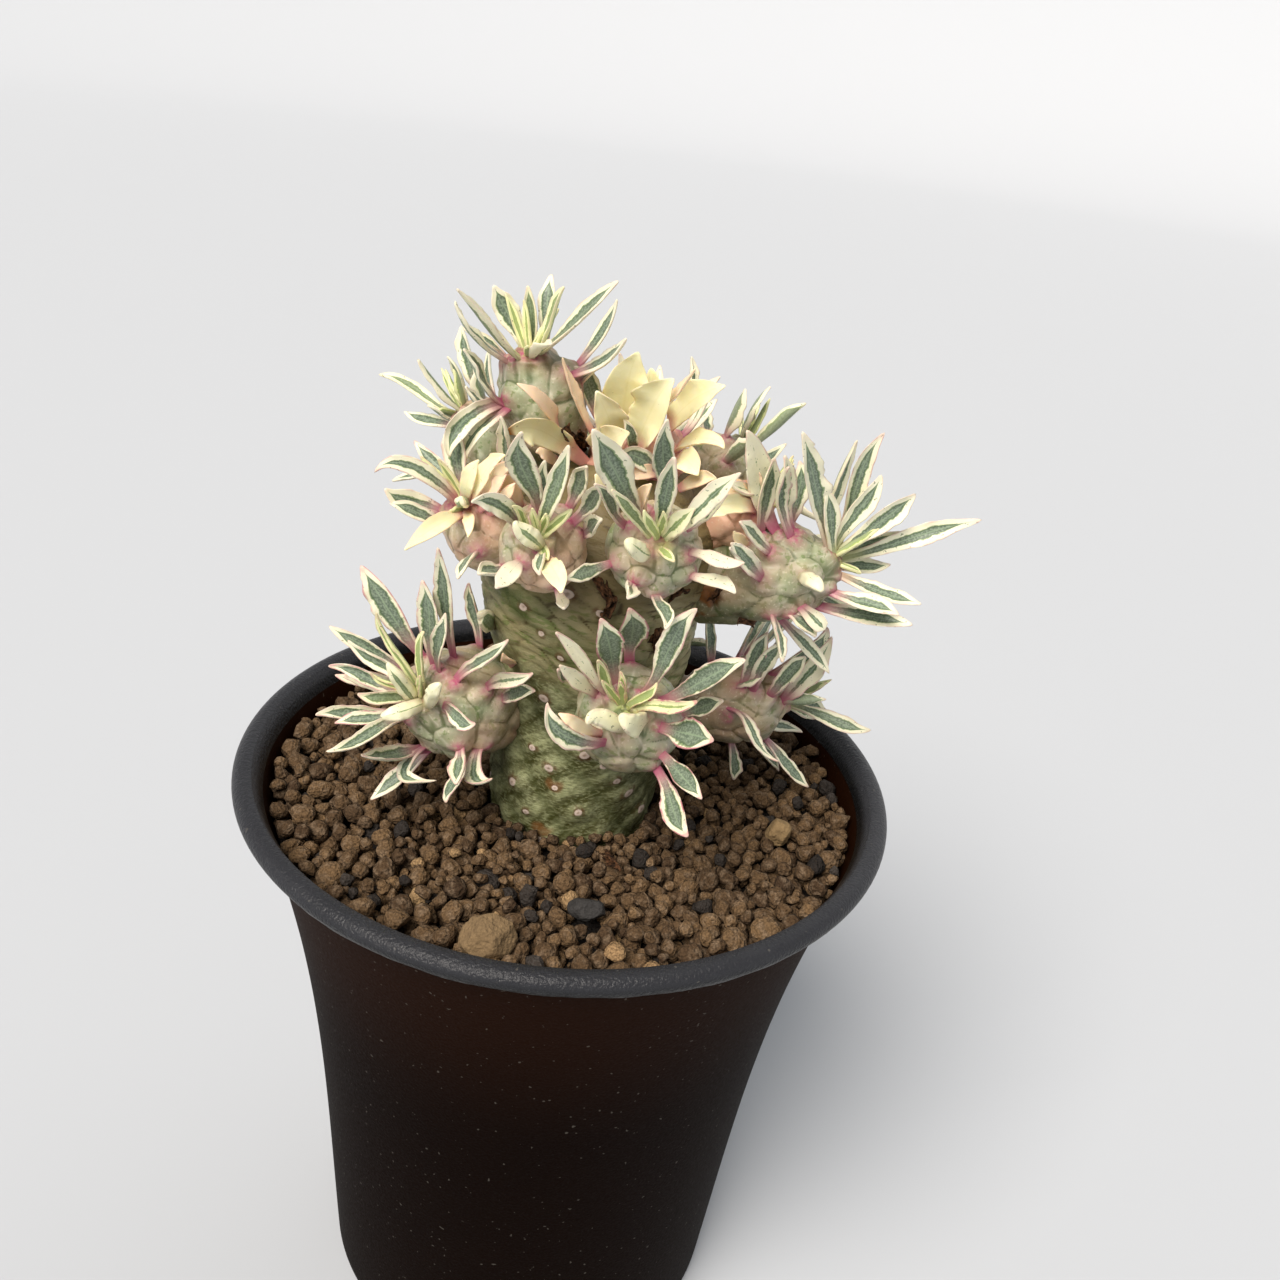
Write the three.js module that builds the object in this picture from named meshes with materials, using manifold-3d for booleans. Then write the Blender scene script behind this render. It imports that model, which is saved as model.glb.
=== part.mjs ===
// A variegated succulent spurge: one stout warty stem with a dozen leafy heads, planted in
// coarse grit in a flared black plastic pot. Millimetres, +Z up. The origin is the middle of
// the pot's underside, and -Y is the side that faces the viewer.
import * as THREE from "three";
import { mergeVertices } from "three/addons/utils/BufferGeometryUtils.js";
import Module from "manifold-3d";

const wasm = await Module();
wasm.setup();

// Pot
const turns = 40; // flats round the pot
const rimRadius = 52.5; // outside of the rolled rim
const rollWide = 1.9; // half the width of the roll
const rollHigh = 1.65; // half its height
const rimHeight = 104.85; // middle of the roll above the table
const neckHeight = rimHeight - rollHigh; // where the wall meets the roll
const wall = 1;
const floorThickness = 2.4;
const baseRadius = 36.3;
const neckRadius = 49; // outside of the wall just under the roll
const hollowDepth = 11.45; // how strongly the flare is drawn in
const hollowLean = 5.95; // how much more it is drawn in towards the roll
const drainHoles = { count: 6, radius: 3.5, ring: 22 };

// Grit
const soilLevel = 101.3; // at the pot's axis
const soilDish = 1.1; // how much higher it lies near the wall
const dishRadius = 46; // how far from the axis it has risen that much
const grainRelief = 1; // how far grains stand above and below the level
const grainStep = 3.4; // side of the small triangles that grains are built on
const soilGap = 0.35; // between the grit and the wall
const fit = 0.3; // clearance between touching pieces

// Stem: [height, radius] up its outside, and how its middle wanders sideways
const stemOutline = [
  [88, 12.2],
  [100, 12.9],
  [106, 13.5],
  [120, 13.6],
  [128, 14.9],
  [135, 16.6],
  [142, 17.4],
  [148, 16.6],
  [153, 13.2],
  [157, 7.6],
];
const stemPath = [
  [88, 0.8, -2],
  [104, 1, -2],
  [118, 2, -1],
  [135, 1.2, 0],
  [148, 2, 0],
  [158, 4, 0],
];
const stemRibs = 10; // spiral ribs round the stem
const stemRow = 4.1; // height between two warts of a rib
const ribShift = -10; // degrees that a rib moves round from one wart to the next above
const wartRelief = 0.9;

// Heads: root and tip are the two ends of the shoot, girth its greatest radius. A leaf is
// [clock, tier, out, along, width]: it springs at tier (0 root, 1 tip) of the shoot and its
// point lies out mm from the shoot's line and along mm from the root, at that clock angle,
// where 0 is up and 90 to the right for someone who faces the tip. The unseen side has
// rear leaves, count of them spread from one clock angle to another.
const heads = {
  head_left_low: {
    root: [-10.5, -1, 115.2],
    tip: [-22.7, -16, 123.6],
    girth: 8.2,
    rear: [-170, -70, 3],
    leaves: [
      [-22, 0.82, 19, 29.5, 3.5],
      [-5, 0.95, 11.5, 31, 1.9],
      [15, 0.85, 17.5, 29, 3.7],
      [21, 0.8, 23, 31, 3.2],
      [30, 0.85, 15, 26.5, 2.2],
      [25, 0.95, 11, 27, 1.9],
      [-55, 0.85, 14.5, 29, 2.7],
      [-52, 0.92, 11, 28, 2.6],
      [-25, 0.97, 5, 26, 2.2],
      [-78, 0.88, 12, 28, 2.6],
      [-95, 0.95, 4, 29, 2.5],
      [-86, 0.7, 13.5, 23, 3.2],
      [-138, 0.92, 4.5, 25.5, 2.6],
      [-112, 0.82, 12.5, 29, 2.6],
      [-155, 0.88, 9.5, 33, 2.7],
      [-165, 0.7, 9, 28, 3.2],
      [-165, 0.5, 14, 17, 2.8],
      [165, 0.55, 15, 15.5, 2.8],
      [140, 0.75, 14, 20, 3],
      [95, 0.86, 14, 24, 2.6],
      [57, 0.84, 20, 23.5, 2.4],
      [70, 0.7, 20, 19.5, 2.8],
      [76, 0.56, 17.5, 16, 2.4],
      [72, 0.95, 8.5, 25, 2.1],
      [5, 0.5, 18, 16, 2.4],
    ],
  },
  head_front_low: {
    root: [9.3, -9, 118.6],
    tip: [6.9, -25, 130.4],
    girth: 7.6,
    rear: [0, 0, 0],
    leaves: [
      [-50, 0.88, 12, 32, 2.1],
      [-65, 0.85, 9.5, 28.5, 2.3],
      [-35, 0.95, 6.5, 28, 1.8],
      [-20, 0.88, 11, 31.5, 3.9],
      [-3, 0.72, 13, 27, 4.2],
      [-10, 0.97, 4.5, 26.5, 1.4],
      [35, 0.88, 15, 35, 3],
      [65, 0.85, 17, 31, 3.5],
      [82, 0.95, 10, 29.5, 2.2],
      [78, 0.66, 13.5, 21.5, 2.8],
      [105, 0.84, 13, 28.5, 4.2],
      [132, 0.72, 16, 23.5, 3.3],
      [146, 0.6, 19, 22.5, 3.3],
      [-98, 0.8, 11, 28.5, 2.5],
      [-103, 0.72, 9, 25.5, 2.4],
      [-112, 0.95, 5, 26, 2.1],
      [150, 0.95, 3.5, 27, 2.9],
      [-66, 0.6, 10.5, 22.5, 2.1],
    ],
  },
  head_right_low: {
    root: [18.2, 2, 117.1],
    tip: [34.2, 4.5, 118.9],
    girth: 6.6,
    rear: [45, 160, 6],
    leaves: [
      [5, 0.28, 15, 4, 2.6],
      [-62, 0.45, 11, 10.5, 2.6],
      [28, 0.55, 16.5, 15.5, 2.5],
      [14, 0.62, 15.5, 16.5, 2.4],
      [-35, 0.7, 12.5, 13.5, 2.6],
      [-2, 0.75, 15, 18.5, 2.4],
      [-38, 0.8, 15.5, 21, 3.8],
      [-62, 0.95, 6, 22, 2.2],
      [-85, 0.85, 9.5, 20.5, 2.2],
      [135, 0.95, 5, 24.5, 4],
      [-145, 0.93, 7, 29.5, 2.6],
      [178, 0.75, 15.5, 20, 2.6],
      [165, 0.45, 14.5, 8, 2.6],
      [-105, 0.3, 14, 7.5, 2.5],
      [-122, 0.5, 13, 12.5, 3.1],
    ],
  },
  head_right_arm: {
    root: [15.4, -3, 139.6],
    tip: [35.1, -8.5, 149.2],
    girth: 6.7,
    rear: [60, 165, 4],
    leaves: [
      [-40, 0.72, 24, 17, 3.8],
      [-43, 0.6, 19.5, 19.5, 3.4],
      [-38, 0.8, 18.5, 20.5, 3.2],
      [-54, 0.8, 20.5, 22, 2.9],
      [-45, 0.9, 23, 24.5, 4.1],
      [-11, 0.75, 15, 20.5, 3.2],
      [-40, 0.95, 12, 24.5, 3],
      [-30, 0.93, 17, 30, 2.6],
      [-12, 0.93, 16, 33, 3.2],
      [0, 0.93, 10.5, 31, 3.2],
      [35, 0.95, 9, 34.5, 3.5],
      [70, 0.9, 8, 31, 2.5],
      [77, 0.95, 9, 42.5, 3.2],
      [172, 0.9, 8.5, 33, 2.5],
      [-172, 0.85, 9.5, 30, 3],
      [165, 0.78, 11.5, 31, 3],
      [-118, 0.78, 10, 21.5, 2.8],
      [-160, 0.65, 11, 18.5, 3.1],
      [-68, 0.66, 17.5, 14, 2.8],
      [-78, 0.5, 16.5, 12, 2.6],
      [-150, 0.55, 15, 14, 2.2],
    ],
  },
  head_front_high: {
    root: [8, -13, 148.5],
    tip: [8.5, -26, 155.8],
    girth: 6.2,
    rear: [0, 0, 0],
    leaves: [
      [-45, 0.88, 14.5, 29.5, 4.2],
      [-62, 0.84, 10.5, 24, 2.4],
      [-57, 0.93, 8.5, 23.5, 1.9],
      [-7, 0.85, 13, 27.5, 3.1],
      [-3, 0.95, 8.5, 28, 3.2],
      [45, 0.92, 10.5, 28.5, 2.4],
      [50, 0.85, 9, 23, 2.3],
      [40, 0.95, 5, 22, 2.4],
      [-118, 0.75, 13, 18.5, 2],
      [-155, 0.8, 8.5, 18.5, 2.8],
      [172, 0.66, 11, 17.5, 2.4],
      [103, 0.84, 10, 23, 2.6],
      [122, 0.74, 11, 20.5, 2.5],
      [-105, 0.95, 4.5, 20.5, 2.4],
    ],
  },
  head_left_mid: {
    root: [-5.8, -13, 146.9],
    tip: [-6.7, -26, 154.3],
    girth: 5.6,
    rear: [0, 0, 0],
    leaves: [
      [-10, 0.86, 11, 28, 3.6],
      [20, 0.93, 10.5, 28, 2.5],
      [3, 0.84, 9, 22, 2],
      [28, 0.66, 11, 17, 2.8],
      [50, 0.82, 10, 23, 2.9],
      [68, 0.74, 8.5, 18, 2.9],
      [-72, 0.92, 7.5, 27, 3.1],
      [-150, 0.85, 8, 20, 2.5],
      [-127, 0.72, 8.5, 16.5, 3],
      [165, 0.9, 5, 21, 1.8],
      [145, 0.88, 8.5, 23, 2.9],
      [152, 0.7, 9.5, 19, 1.8],
      [20, 0.97, 3, 20, 1.4],
    ],
  },
  head_left_high: {
    root: [-10.1, -7, 144.8],
    tip: [-18.1, -14, 153.6],
    girth: 6.2,
    rear: [-75, -40, 1],
    leaves: [
      [-105, 0.92, 6.5, 24.5, 2.3],
      [-60, 0.88, 7.5, 18.5, 2.4],
      [-98, 0.8, 9.5, 19, 3.4],
      [-107, 0.7, 9.5, 17.5, 2.4],
      [168, 0.88, 11.5, 22, 2.9],
      [125, 0.9, 7.5, 17.5, 1.8],
      [66, 0.75, 11, 17.5, 2.9],
      [68, 0.8, 11, 19, 2.6],
      [54, 0.95, 7, 19, 2.8],
      [-12, 0.88, 9.5, 19.5, 3.4],
      [39, 0.8, 12.5, 20.5, 2.8],
      [150, 0.72, 13, 15, 2],
    ],
  },
  head_top: {
    root: [-6.6, 2, 157],
    tip: [-11.3, -3, 172.2],
    girth: 6,
    rear: [-45, 60, 3],
    leaves: [
      [-158, 0.93, 8, 30.5, 2.6],
      [-55, 0.95, 5.5, 25, 3.5],
      [-5, 0.93, 5, 24, 2.3],
      [70, 0.95, 7, 25.5, 2.3],
      [88, 0.93, 15.5, 27.5, 2.6],
      [92, 0.8, 15.5, 20, 2.8],
      [-155, 0.72, 9.5, 22.5, 3],
      [-135, 0.88, 7.5, 27.5, 2.3],
      [-105, 0.85, 8, 21.5, 2.2],
      [120, 0.92, 7, 20.5, 2.6],
      [143, 0.75, 14.5, 12.5, 3.5],
      [128, 0.75, 15, 14, 3.8],
      [76, 0.66, 11.5, 15.5, 2.6],
      [-170, 0.5, 16.5, 14.5, 3.8],
      [-130, 0.5, 9.5, 15, 2.6],
    ],
  },
  head_left_rear: {
    root: [-12.3, 8.5, 151.5],
    tip: [-21.8, 11, 158.5],
    girth: 5.5,
    rear: [-175, -60, 4],
    leaves: [
      [-125, 0.93, 8, 26, 2.2],
      [80, 0.93, 6.5, 21, 2.9],
      [132, 0.9, 4, 16, 2.8],
      [24, 0.93, 5, 19, 2.5],
      [0, 0.85, 9.5, 21, 3.2],
      [45, 0.8, 8.5, 14, 2.4],
      [-26, 0.75, 12, 16.5, 2.4],
    ],
  },
  crown: {
    root: [5.7, 1, 151.3],
    tip: [4.8, 0, 163],
    girth: 7.2,
    rear: [-70, 75, 5],
    leaves: [
      [165, 0.9, 7.5, 25, 6],
      [135, 0.95, 6, 23, 3],
      [100, 0.93, 9.5, 22.5, 3.2],
      [142, 0.88, 11.5, 21, 4.6],
      [166, 0.95, 6, 24, 3],
      [108, 0.85, 14.5, 20, 3.8],
      [-158, 0.85, 10, 20, 4.2],
      [177, 0.72, 8.5, 14, 3.6],
      [-136, 0.72, 22, 15.5, 4.6],
      [122, 0.75, 15.5, 12.5, 3],
      [-178, 0.72, 13.5, 13.5, 3],
      [-152, 0.75, 15, 14.5, 2.6],
    ],
  },
  head_right_rear: {
    root: [15, 8, 150.6],
    tip: [21.9, 12.5, 158],
    girth: 5.5,
    rear: [80, 220, 4],
    leaves: [
      [-49, 0.75, 11.5, 14.5, 3.4],
      [-52, 0.93, 7.5, 18.5, 3.1],
      [-100, 0.93, 6, 21, 2.4],
      [10, 0.65, 15.5, 15, 2.9],
      [-78, 0.5, 12, 9, 3.1],
      [26, 0.75, 9.5, 11.5, 3.1],
    ],
  },
  head_scarred: {
    root: [17.4, -2.5, 149.4],
    tip: [24.2, -4.5, 155.6],
    girth: 4.4,
    rear: [0, 0, 0],
    leaves: [
      [-95, 0.8, 14.5, 6.5, 4.2],
      [-30, 0.85, 8, 13, 2.1],
      [-82, 0.85, 11.5, 9.5, 2.4],
    ],
  },
  head_rear_high: {
    root: [0.5, 11, 143],
    tip: [-1, 24.5, 152],
    girth: 5.8,
    rear: [35, 325, 9],
    leaves: [],
  },
  head_rear_low: {
    root: [7, 9, 121.5],
    tip: [10, 22.5, 126.5],
    girth: 5.8,
    rear: [-150, 210, 9],
    leaves: [],
  },
};
const headWarts = 8; // warts round a head
const headRows = 5; // rows of warts from its root to its tip
const headWartRelief = 0.8;
const leafThickness = 0.95;
const leafFold = 0.22; // how steeply the two halves of a blade rise from its midrib
const leafStations = [0, 0.56, 0.83]; // where a blade has a section, from root to point
const leafRoot = 1.3; // how far a blade's root is sunk in the shoot

// Stones that stand out in the grit: middle, half sizes and turn about Z in degrees
const stones = {
  stone_tan: { at: [-8.2, -41.6, 103], size: [3.5, 2.7, 3.1], turn: 10, color: 0x9a7a52 },
  stone_dark: { at: [4.8, -33.4, 102.6], size: [2.6, 1.6, 1.5], turn: -8, color: 0x3c3a38 },
  stone_pale: { at: [34.4, -10.6, 102.8], size: [2, 1.9, 2], turn: 20, color: 0xa88a5e },
};

const up = new THREE.Vector3(0, 0, 1);
const degrees = Math.PI / 180;

// A seeded draw between 0 and 1, the same on every run.
function makeDraw(seed) {
  let state = seed;
  return () => {
    state = (state * 16807) % 2147483647;
    return state / 2147483647;
  };
}

// The value at x of a line drawn through [x, value] points.
function along(points, x, column = 1) {
  let i = 0;
  while (i < points.length - 2 && points[i + 1][0] < x) i += 1;
  const [a, b] = [points[i], points[i + 1]];
  const part = THREE.MathUtils.clamp((x - a[0]) / (b[0] - a[0]), 0, 1);
  return a[column] + (b[column] - a[column]) * part;
}

// A geometry's surface as a manifold solid.
function solidOf(geometry) {
  const bare = geometry.clone();
  bare.deleteAttribute("normal");
  bare.deleteAttribute("uv");
  const merged = mergeVertices(bare, 1e-4);
  return new wasm.Manifold(
    new wasm.Mesh({
      numProp: 3,
      vertProperties: new Float32Array(merged.attributes.position.array),
      triVerts: new Uint32Array(merged.index.array),
    }),
  );
}

// A solid from points and triangles of point numbers.
function solidFrom(points, triangles) {
  const geometry = new THREE.BufferGeometry().setFromPoints(points);
  geometry.setIndex(triangles);
  return solidOf(geometry);
}

// The largest of a solid's bodies: a cut may leave scraps beside it.
function largestBody(solid) {
  const bodies = solid.decompose();
  return bodies.reduce((a, b) => (a.volume() > b.volume() ? a : b));
}

// A named mesh of a solid.
function meshOf(name, solid, color, roughness) {
  const { numProp, vertProperties, triVerts, numVert } = solid.getMesh();
  const positions = new Float32Array(numVert * 3);
  for (let i = 0; i < numVert; i += 1) {
    positions.set(vertProperties.subarray(i * numProp, i * numProp + 3), i * 3);
  }
  const geometry = new THREE.BufferGeometry();
  geometry.setAttribute("position", new THREE.BufferAttribute(positions, 3));
  geometry.setIndex(new THREE.BufferAttribute(triVerts, 1));
  geometry.computeVertexNormals();
  const material = new THREE.MeshStandardMaterial({ color, roughness, metalness: 0 });
  const mesh = new THREE.Mesh(geometry, material);
  mesh.name = name;
  return mesh;
}

// Radius of the pot's outer wall at a height: a flare that is slightly hollow.
function potRadius(height) {
  const depth = (neckHeight - height) / neckHeight;
  const hollow = depth * (1 - depth) * (hollowDepth + hollowLean * (1 - 2 * depth));
  return neckRadius + (baseRadius - neckRadius) * depth - hollow;
}

// The pot: a turned shell with a rolled rim and a ring of drain holes.
function makePot() {
  const wallHeights = [1.6, 26, 52, 76, 92, neckHeight];
  const outer = wallHeights.map((z) => new THREE.Vector2(potRadius(z), z));
  const inner = wallHeights.slice(1).map((z) => new THREE.Vector2(potRadius(z) - wall, z));
  const roll = [-55, -10, 35, 80, 122].map(
    (a) =>
      new THREE.Vector2(
        rimRadius - rollWide + rollWide * Math.cos(a * degrees),
        rimHeight + rollHigh * Math.sin(a * degrees),
      ),
  );
  const profile = [
    new THREE.Vector2(0, 0),
    new THREE.Vector2(baseRadius - 1.6, 0),
    ...outer,
    ...roll,
    ...inner.reverse(),
    new THREE.Vector2(potRadius(floorThickness) - wall, floorThickness),
    new THREE.Vector2(0, floorThickness),
  ];
  const shell = new THREE.LatheGeometry(profile, turns).rotateX(Math.PI / 2);
  let solid = solidOf(shell);
  for (let i = 0; i < drainHoles.count; i += 1) {
    const angle = (i / drainHoles.count) * 2 * Math.PI;
    const hole = new THREE.CylinderGeometry(drainHoles.radius, drainHoles.radius, 10, 8)
      .rotateX(Math.PI / 2)
      .translate(drainHoles.ring * Math.cos(angle), drainHoles.ring * Math.sin(angle), 0);
    solid = solid.subtract(solidOf(hole));
  }
  return solid;
}

// A warty body of revolution. Its skin is a lattice of lozenges, each raised to a wart in its
// middle: pointAt(row, angle, lift) gives a point of it, and shift turns each row from the last.
function wartyBody(rows, count, shift, relief, pointAt, start, end) {
  const points = [start];
  const step = 360 / count;
  const corner = (row, i) => 1 + row * count + (((i % count) + count) % count);
  for (let row = 0; row < rows; row += 1) {
    for (let i = 0; i < count; i += 1) points.push(pointAt(row, i * step + row * shift, 0));
  }
  const last = points.push(end) - 1;
  const triangles = [];
  for (let i = 0; i < count; i += 1) {
    triangles.push(0, corner(0, i + 1), corner(0, i));
    triangles.push(last, corner(rows - 1, i), corner(rows - 1, i + 1));
    triangles.push(corner(0, i), corner(0, i + 1), corner(1, i + 1));
    triangles.push(corner(rows - 1, i + 1), corner(rows - 1, i), corner(rows - 2, i));
    for (let row = 1; row < rows - 1; row += 1) {
      const middle = (i + 0.5) * step + row * shift;
      const peak = points.push(pointAt(row + 0.18, middle, relief)) - 1;
      const ring = [corner(row, i), corner(row - 1, i), corner(row, i + 1), corner(row + 1, i + 1)];
      ring.forEach((c, k) => triangles.push(c, ring[(k + 1) % 4], peak));
    }
  }
  return solidFrom(points, triangles);
}

// The stem, grown by extra mm all round.
function makeStem(extra = 0) {
  const bottom = stemOutline[0][0];
  const top = stemOutline.at(-1)[0];
  const rows = Math.round((top - bottom) / stemRow) + 1;
  const middle = (z) => new THREE.Vector3(along(stemPath, z, 1), along(stemPath, z, 2), z);
  const pointAt = (row, angle, lift) => {
    const z = bottom + (row / (rows - 1)) * (top - bottom);
    const radius = along(stemOutline, z) + (z > soilLevel - 3 ? lift : 0) + extra;
    const out = new THREE.Vector3(Math.cos(angle * degrees), Math.sin(angle * degrees), 0);
    return middle(z).addScaledVector(out, radius);
  };
  const foot = middle(bottom).addScaledVector(up, -extra);
  const crest = middle(top).addScaledVector(up, 2 + extra);
  return wartyBody(rows, stemRibs, ribShift, wartRelief, pointAt, foot, crest);
}

// A head's own directions: its line, up across it, and right across it as its tip is faced.
function headFrame(head) {
  const root = new THREE.Vector3(...head.root);
  const line = new THREE.Vector3(...head.tip).sub(root);
  const length = line.length();
  line.normalize();
  const rise = new THREE.Vector3(0, 0.4, 1);
  rise.addScaledVector(line, -rise.dot(line)).normalize();
  const right = new THREE.Vector3().crossVectors(rise, line);
  return { root, line, length, rise, right };
}

// Radius of a head at a tier: it swells from a waist at its root and closes in a dome.
function headRadius(head, tier) {
  const shoulder = 0.55;
  const waist = 0.72;
  if (tier < shoulder) {
    const part = Math.max(tier, 0) / shoulder;
    return head.girth * (waist + (1 - waist) * Math.sin((part * Math.PI) / 2));
  }
  const part = (tier - shoulder) / (1 - shoulder);
  return head.girth * Math.sqrt(Math.max(1 - part * part, 0));
}

// A point of a head at a tier and clock angle, out mm from its line.
function headPoint(frame, tier, clock, out) {
  const across = frame.rise
    .clone()
    .multiplyScalar(Math.cos(clock * degrees))
    .addScaledVector(frame.right, Math.sin(clock * degrees));
  return frame.root
    .clone()
    .addScaledVector(frame.line, tier * frame.length)
    .addScaledVector(across, out);
}

// The shoot of a head, grown by extra mm all round.
function makeShoot(head, extra = 0) {
  const frame = headFrame(head);
  const deep = -0.25; // tier where the shoot starts, inside what it grows from
  const pointAt = (row, angle, lift) => {
    const part = row / headRows;
    const tier = deep + (0.96 - deep) * Math.sin((part * Math.PI) / 2) ** 0.95;
    const radius = Math.max(headRadius(head, tier), 1.2) + lift * (part > 0.2 ? 1 : 0);
    return headPoint(frame, tier, -angle, radius + extra);
  };
  const start = headPoint(frame, deep, 0, 0).addScaledVector(frame.line, -extra);
  const end = headPoint(frame, 1, 0, 0).addScaledVector(frame.line, extra);
  return wartyBody(headRows + 1, headWarts, -180 / headWarts, headWartRelief, pointAt, start, end);
}

// Half the width of a blade at a place from its root, 0, to its point, 1.
function leafHalfWidth(width, place) {
  return (width / 2) * (0.25 * (1 - place) + 0.97 * Math.sin(Math.PI * place ** 1.6) ** 0.95);
}

// One leaf: a folded blade from the shoot's skin to its point.
function makeLeaf(head, [clock, tier, out, reach, width], bend) {
  const frame = headFrame(head);
  const skin = headPoint(frame, tier, clock, headRadius(head, tier));
  const point = headPoint(frame, reach / frame.length, clock, out);
  const line = point.clone().sub(skin);
  const length = line.length();
  line.normalize();
  const face = headPoint(frame, tier, clock, 0).addScaledVector(frame.line, 8).sub(skin);
  face.addScaledVector(line, -face.dot(line)).normalize();
  const side = new THREE.Vector3().crossVectors(line, face);
  const start = skin.addScaledVector(line, -leafRoot);
  const whole = length + leafRoot;
  const points = [];
  for (const place of leafStations) {
    const half = Math.max(leafHalfWidth(width, place), 0.5);
    const bow = bend * whole * 4 * place * (1 - place);
    const middle = start.clone().addScaledVector(line, whole * place).addScaledVector(face, bow);
    const edge = leafFold * half;
    points.push(middle.clone().addScaledVector(side, half).addScaledVector(face, edge));
    points.push(middle.clone().addScaledVector(face, leafThickness / 2));
    points.push(middle.clone().addScaledVector(side, -half).addScaledVector(face, edge));
    points.push(middle.clone().addScaledVector(face, -leafThickness / 2));
  }
  const last = points.push(point) - 1;
  const triangles = [0, 1, 2, 0, 2, 3];
  for (let ring = 0; ring < leafStations.length; ring += 1) {
    for (let i = 0; i < 4; i += 1) {
      const a = ring * 4 + i;
      const b = ring * 4 + ((i + 1) % 4);
      if (ring === leafStations.length - 1) triangles.push(a, last, b);
      else triangles.push(a, a + 4, b, b, a + 4, b + 4);
    }
  }
  return solidFrom(points, triangles);
}

// The leaves of a head: the listed ones, and the rear ones by a rule of golden steps.
function leavesOf(head) {
  const frame = headFrame(head);
  const [from, to, count] = head.rear;
  const rear = [];
  for (let i = 0; i < count; i += 1) {
    const golden = (i * 0.618 + 0.3) % 1;
    const clock = from + ((to - from) * (i + 0.5)) / count;
    const tier = 0.45 + 0.45 * golden;
    const lift = (15 + 50 * golden) * degrees;
    const length = 13 - 3 * golden;
    const out = headRadius(head, tier) + length * Math.cos(lift);
    rear.push([clock, tier, out, tier * frame.length + length * Math.sin(lift), 2.5]);
  }
  return [...head.leaves, ...rear];
}

// A head: its shoot with the leaves grown on it.
function makeHead(head, index) {
  const draw = makeDraw(101 + index);
  let solid = makeShoot(head);
  for (const leaf of leavesOf(head)) solid = solid.add(makeLeaf(head, leaf, (draw() - 0.5) * 0.12));
  return solid;
}

// A stone: a rounded lump with a rough skin, grown by extra mm all round.
function makeStone(stone, seed, extra = 0) {
  const draw = makeDraw(seed);
  const lump = mergeVertices(bareIcosahedron());
  const places = lump.attributes.position;
  for (let i = 0; i < places.count; i += 1) {
    const rough = 0.85 + 0.3 * draw();
    const point = new THREE.Vector3().fromBufferAttribute(places, i);
    point.multiply(new THREE.Vector3(...stone.size.map((s) => s * rough + extra)));
    point.applyAxisAngle(up, stone.turn * degrees).add(new THREE.Vector3(...stone.at));
    places.setXYZ(i, point.x, point.y, point.z);
  }
  return solidOf(lump);
}

function bareIcosahedron() {
  const geometry = new THREE.IcosahedronGeometry(1, 1);
  geometry.deleteAttribute("normal");
  geometry.deleteAttribute("uv");
  return geometry;
}

// The grit: it fills the pot, its top is a field of grains and the stem stands in a hole.
// The grains are six-sided peaks on a lattice of small triangles, every third point a peak.
function makeSoil(stem) {
  const draw = makeDraw(7);
  const bottom = floorThickness + fit;
  const row = grainStep * Math.sin(Math.PI / 3);
  const half = Math.ceil(rimRadius / row) + 1;
  const span = 2 * half + 1;
  const points = [];
  for (let i = 0; i < span; i += 1) {
    for (let j = 0; j < span; j += 1) {
      const peak = (i + 2 * j) % 3 === 0;
      const lift = peak ? grainRelief * (0.35 + 1.1 * draw()) : -grainRelief * draw();
      const x = (j - half + (i % 2) / 2) * grainStep + (draw() - 0.5) * 0.6;
      const y = (i - half) * row + (draw() - 0.5) * 0.6;
      const dish = soilDish * Math.min(1, (x * x + y * y) / dishRadius ** 2);
      points.push(new THREE.Vector3(x, y, soilLevel + dish + lift));
    }
  }
  const under = points.map((p) => new THREE.Vector3(p.x, p.y, soilLevel - 4));
  const count = points.length;
  points.push(...under);
  const triangles = [];
  const quad = (a, b, c, d) => triangles.push(a, b, c, a, c, d);
  for (let i = 0; i < span - 1; i += 1) {
    for (let j = 0; j < span - 1; j += 1) {
      const [a, b] = [i * span + j, i * span + j + 1];
      const [c, d] = [b + span, a + span];
      const split = i % 2 ? [a, b, c, a, c, d] : [a, b, d, b, c, d];
      triangles.push(...split, ...split.map((k) => k + count).reverse());
    }
    const [left, right] = [i * span, i * span + span - 1];
    quad(left, left + span, left + span + count, left + count);
    quad(right, right + count, right + span + count, right + span);
    quad(i, i + count, i + 1 + count, i + 1);
    const back = (span - 1) * span + i;
    quad(back, back + 1, back + 1 + count, back + count);
  }
  const top = solidFrom(points, triangles);
  const wallAt = (z) => new THREE.Vector2(potRadius(z) - wall - soilGap, z);
  const profile = [
    new THREE.Vector2(0, bottom),
    ...[bottom, 40, 76, soilLevel - 2, soilLevel + 3].map(wallAt),
    new THREE.Vector2(0, soilLevel + 3),
  ];
  const fill = solidOf(new THREE.LatheGeometry(profile, turns).rotateX(Math.PI / 2));
  const slab = new THREE.BoxGeometry(3 * rimRadius, 3 * rimRadius, soilLevel - 3);
  slab.translate(0, 0, (soilLevel - 3) / 2);
  return top.add(solidOf(slab)).intersect(fill).subtract(stem);
}

const group = new THREE.Group();
group.name = "potted_succulent";

const stemSolid = makeStem();
const stemRoom = makeStem(fit);
let soilSolid = makeSoil(stemRoom);
Object.entries(stones).forEach(([name, stone], i) => {
  const solid = makeStone(stone, 31 + i);
  soilSolid = soilSolid.subtract(makeStone(stone, 31 + i, fit));
  group.add(meshOf(name, solid, stone.color, 0.9));
});

let taken = stemRoom;
Object.entries(heads).forEach(([name, head], i) => {
  const solid = largestBody(makeHead(head, i).subtract(taken));
  taken = taken.add(makeShoot(head, fit));
  group.add(meshOf(name, solid, name === "crown" ? 0xe6dfa0 : 0x8fa684, 0.5));
});

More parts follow.
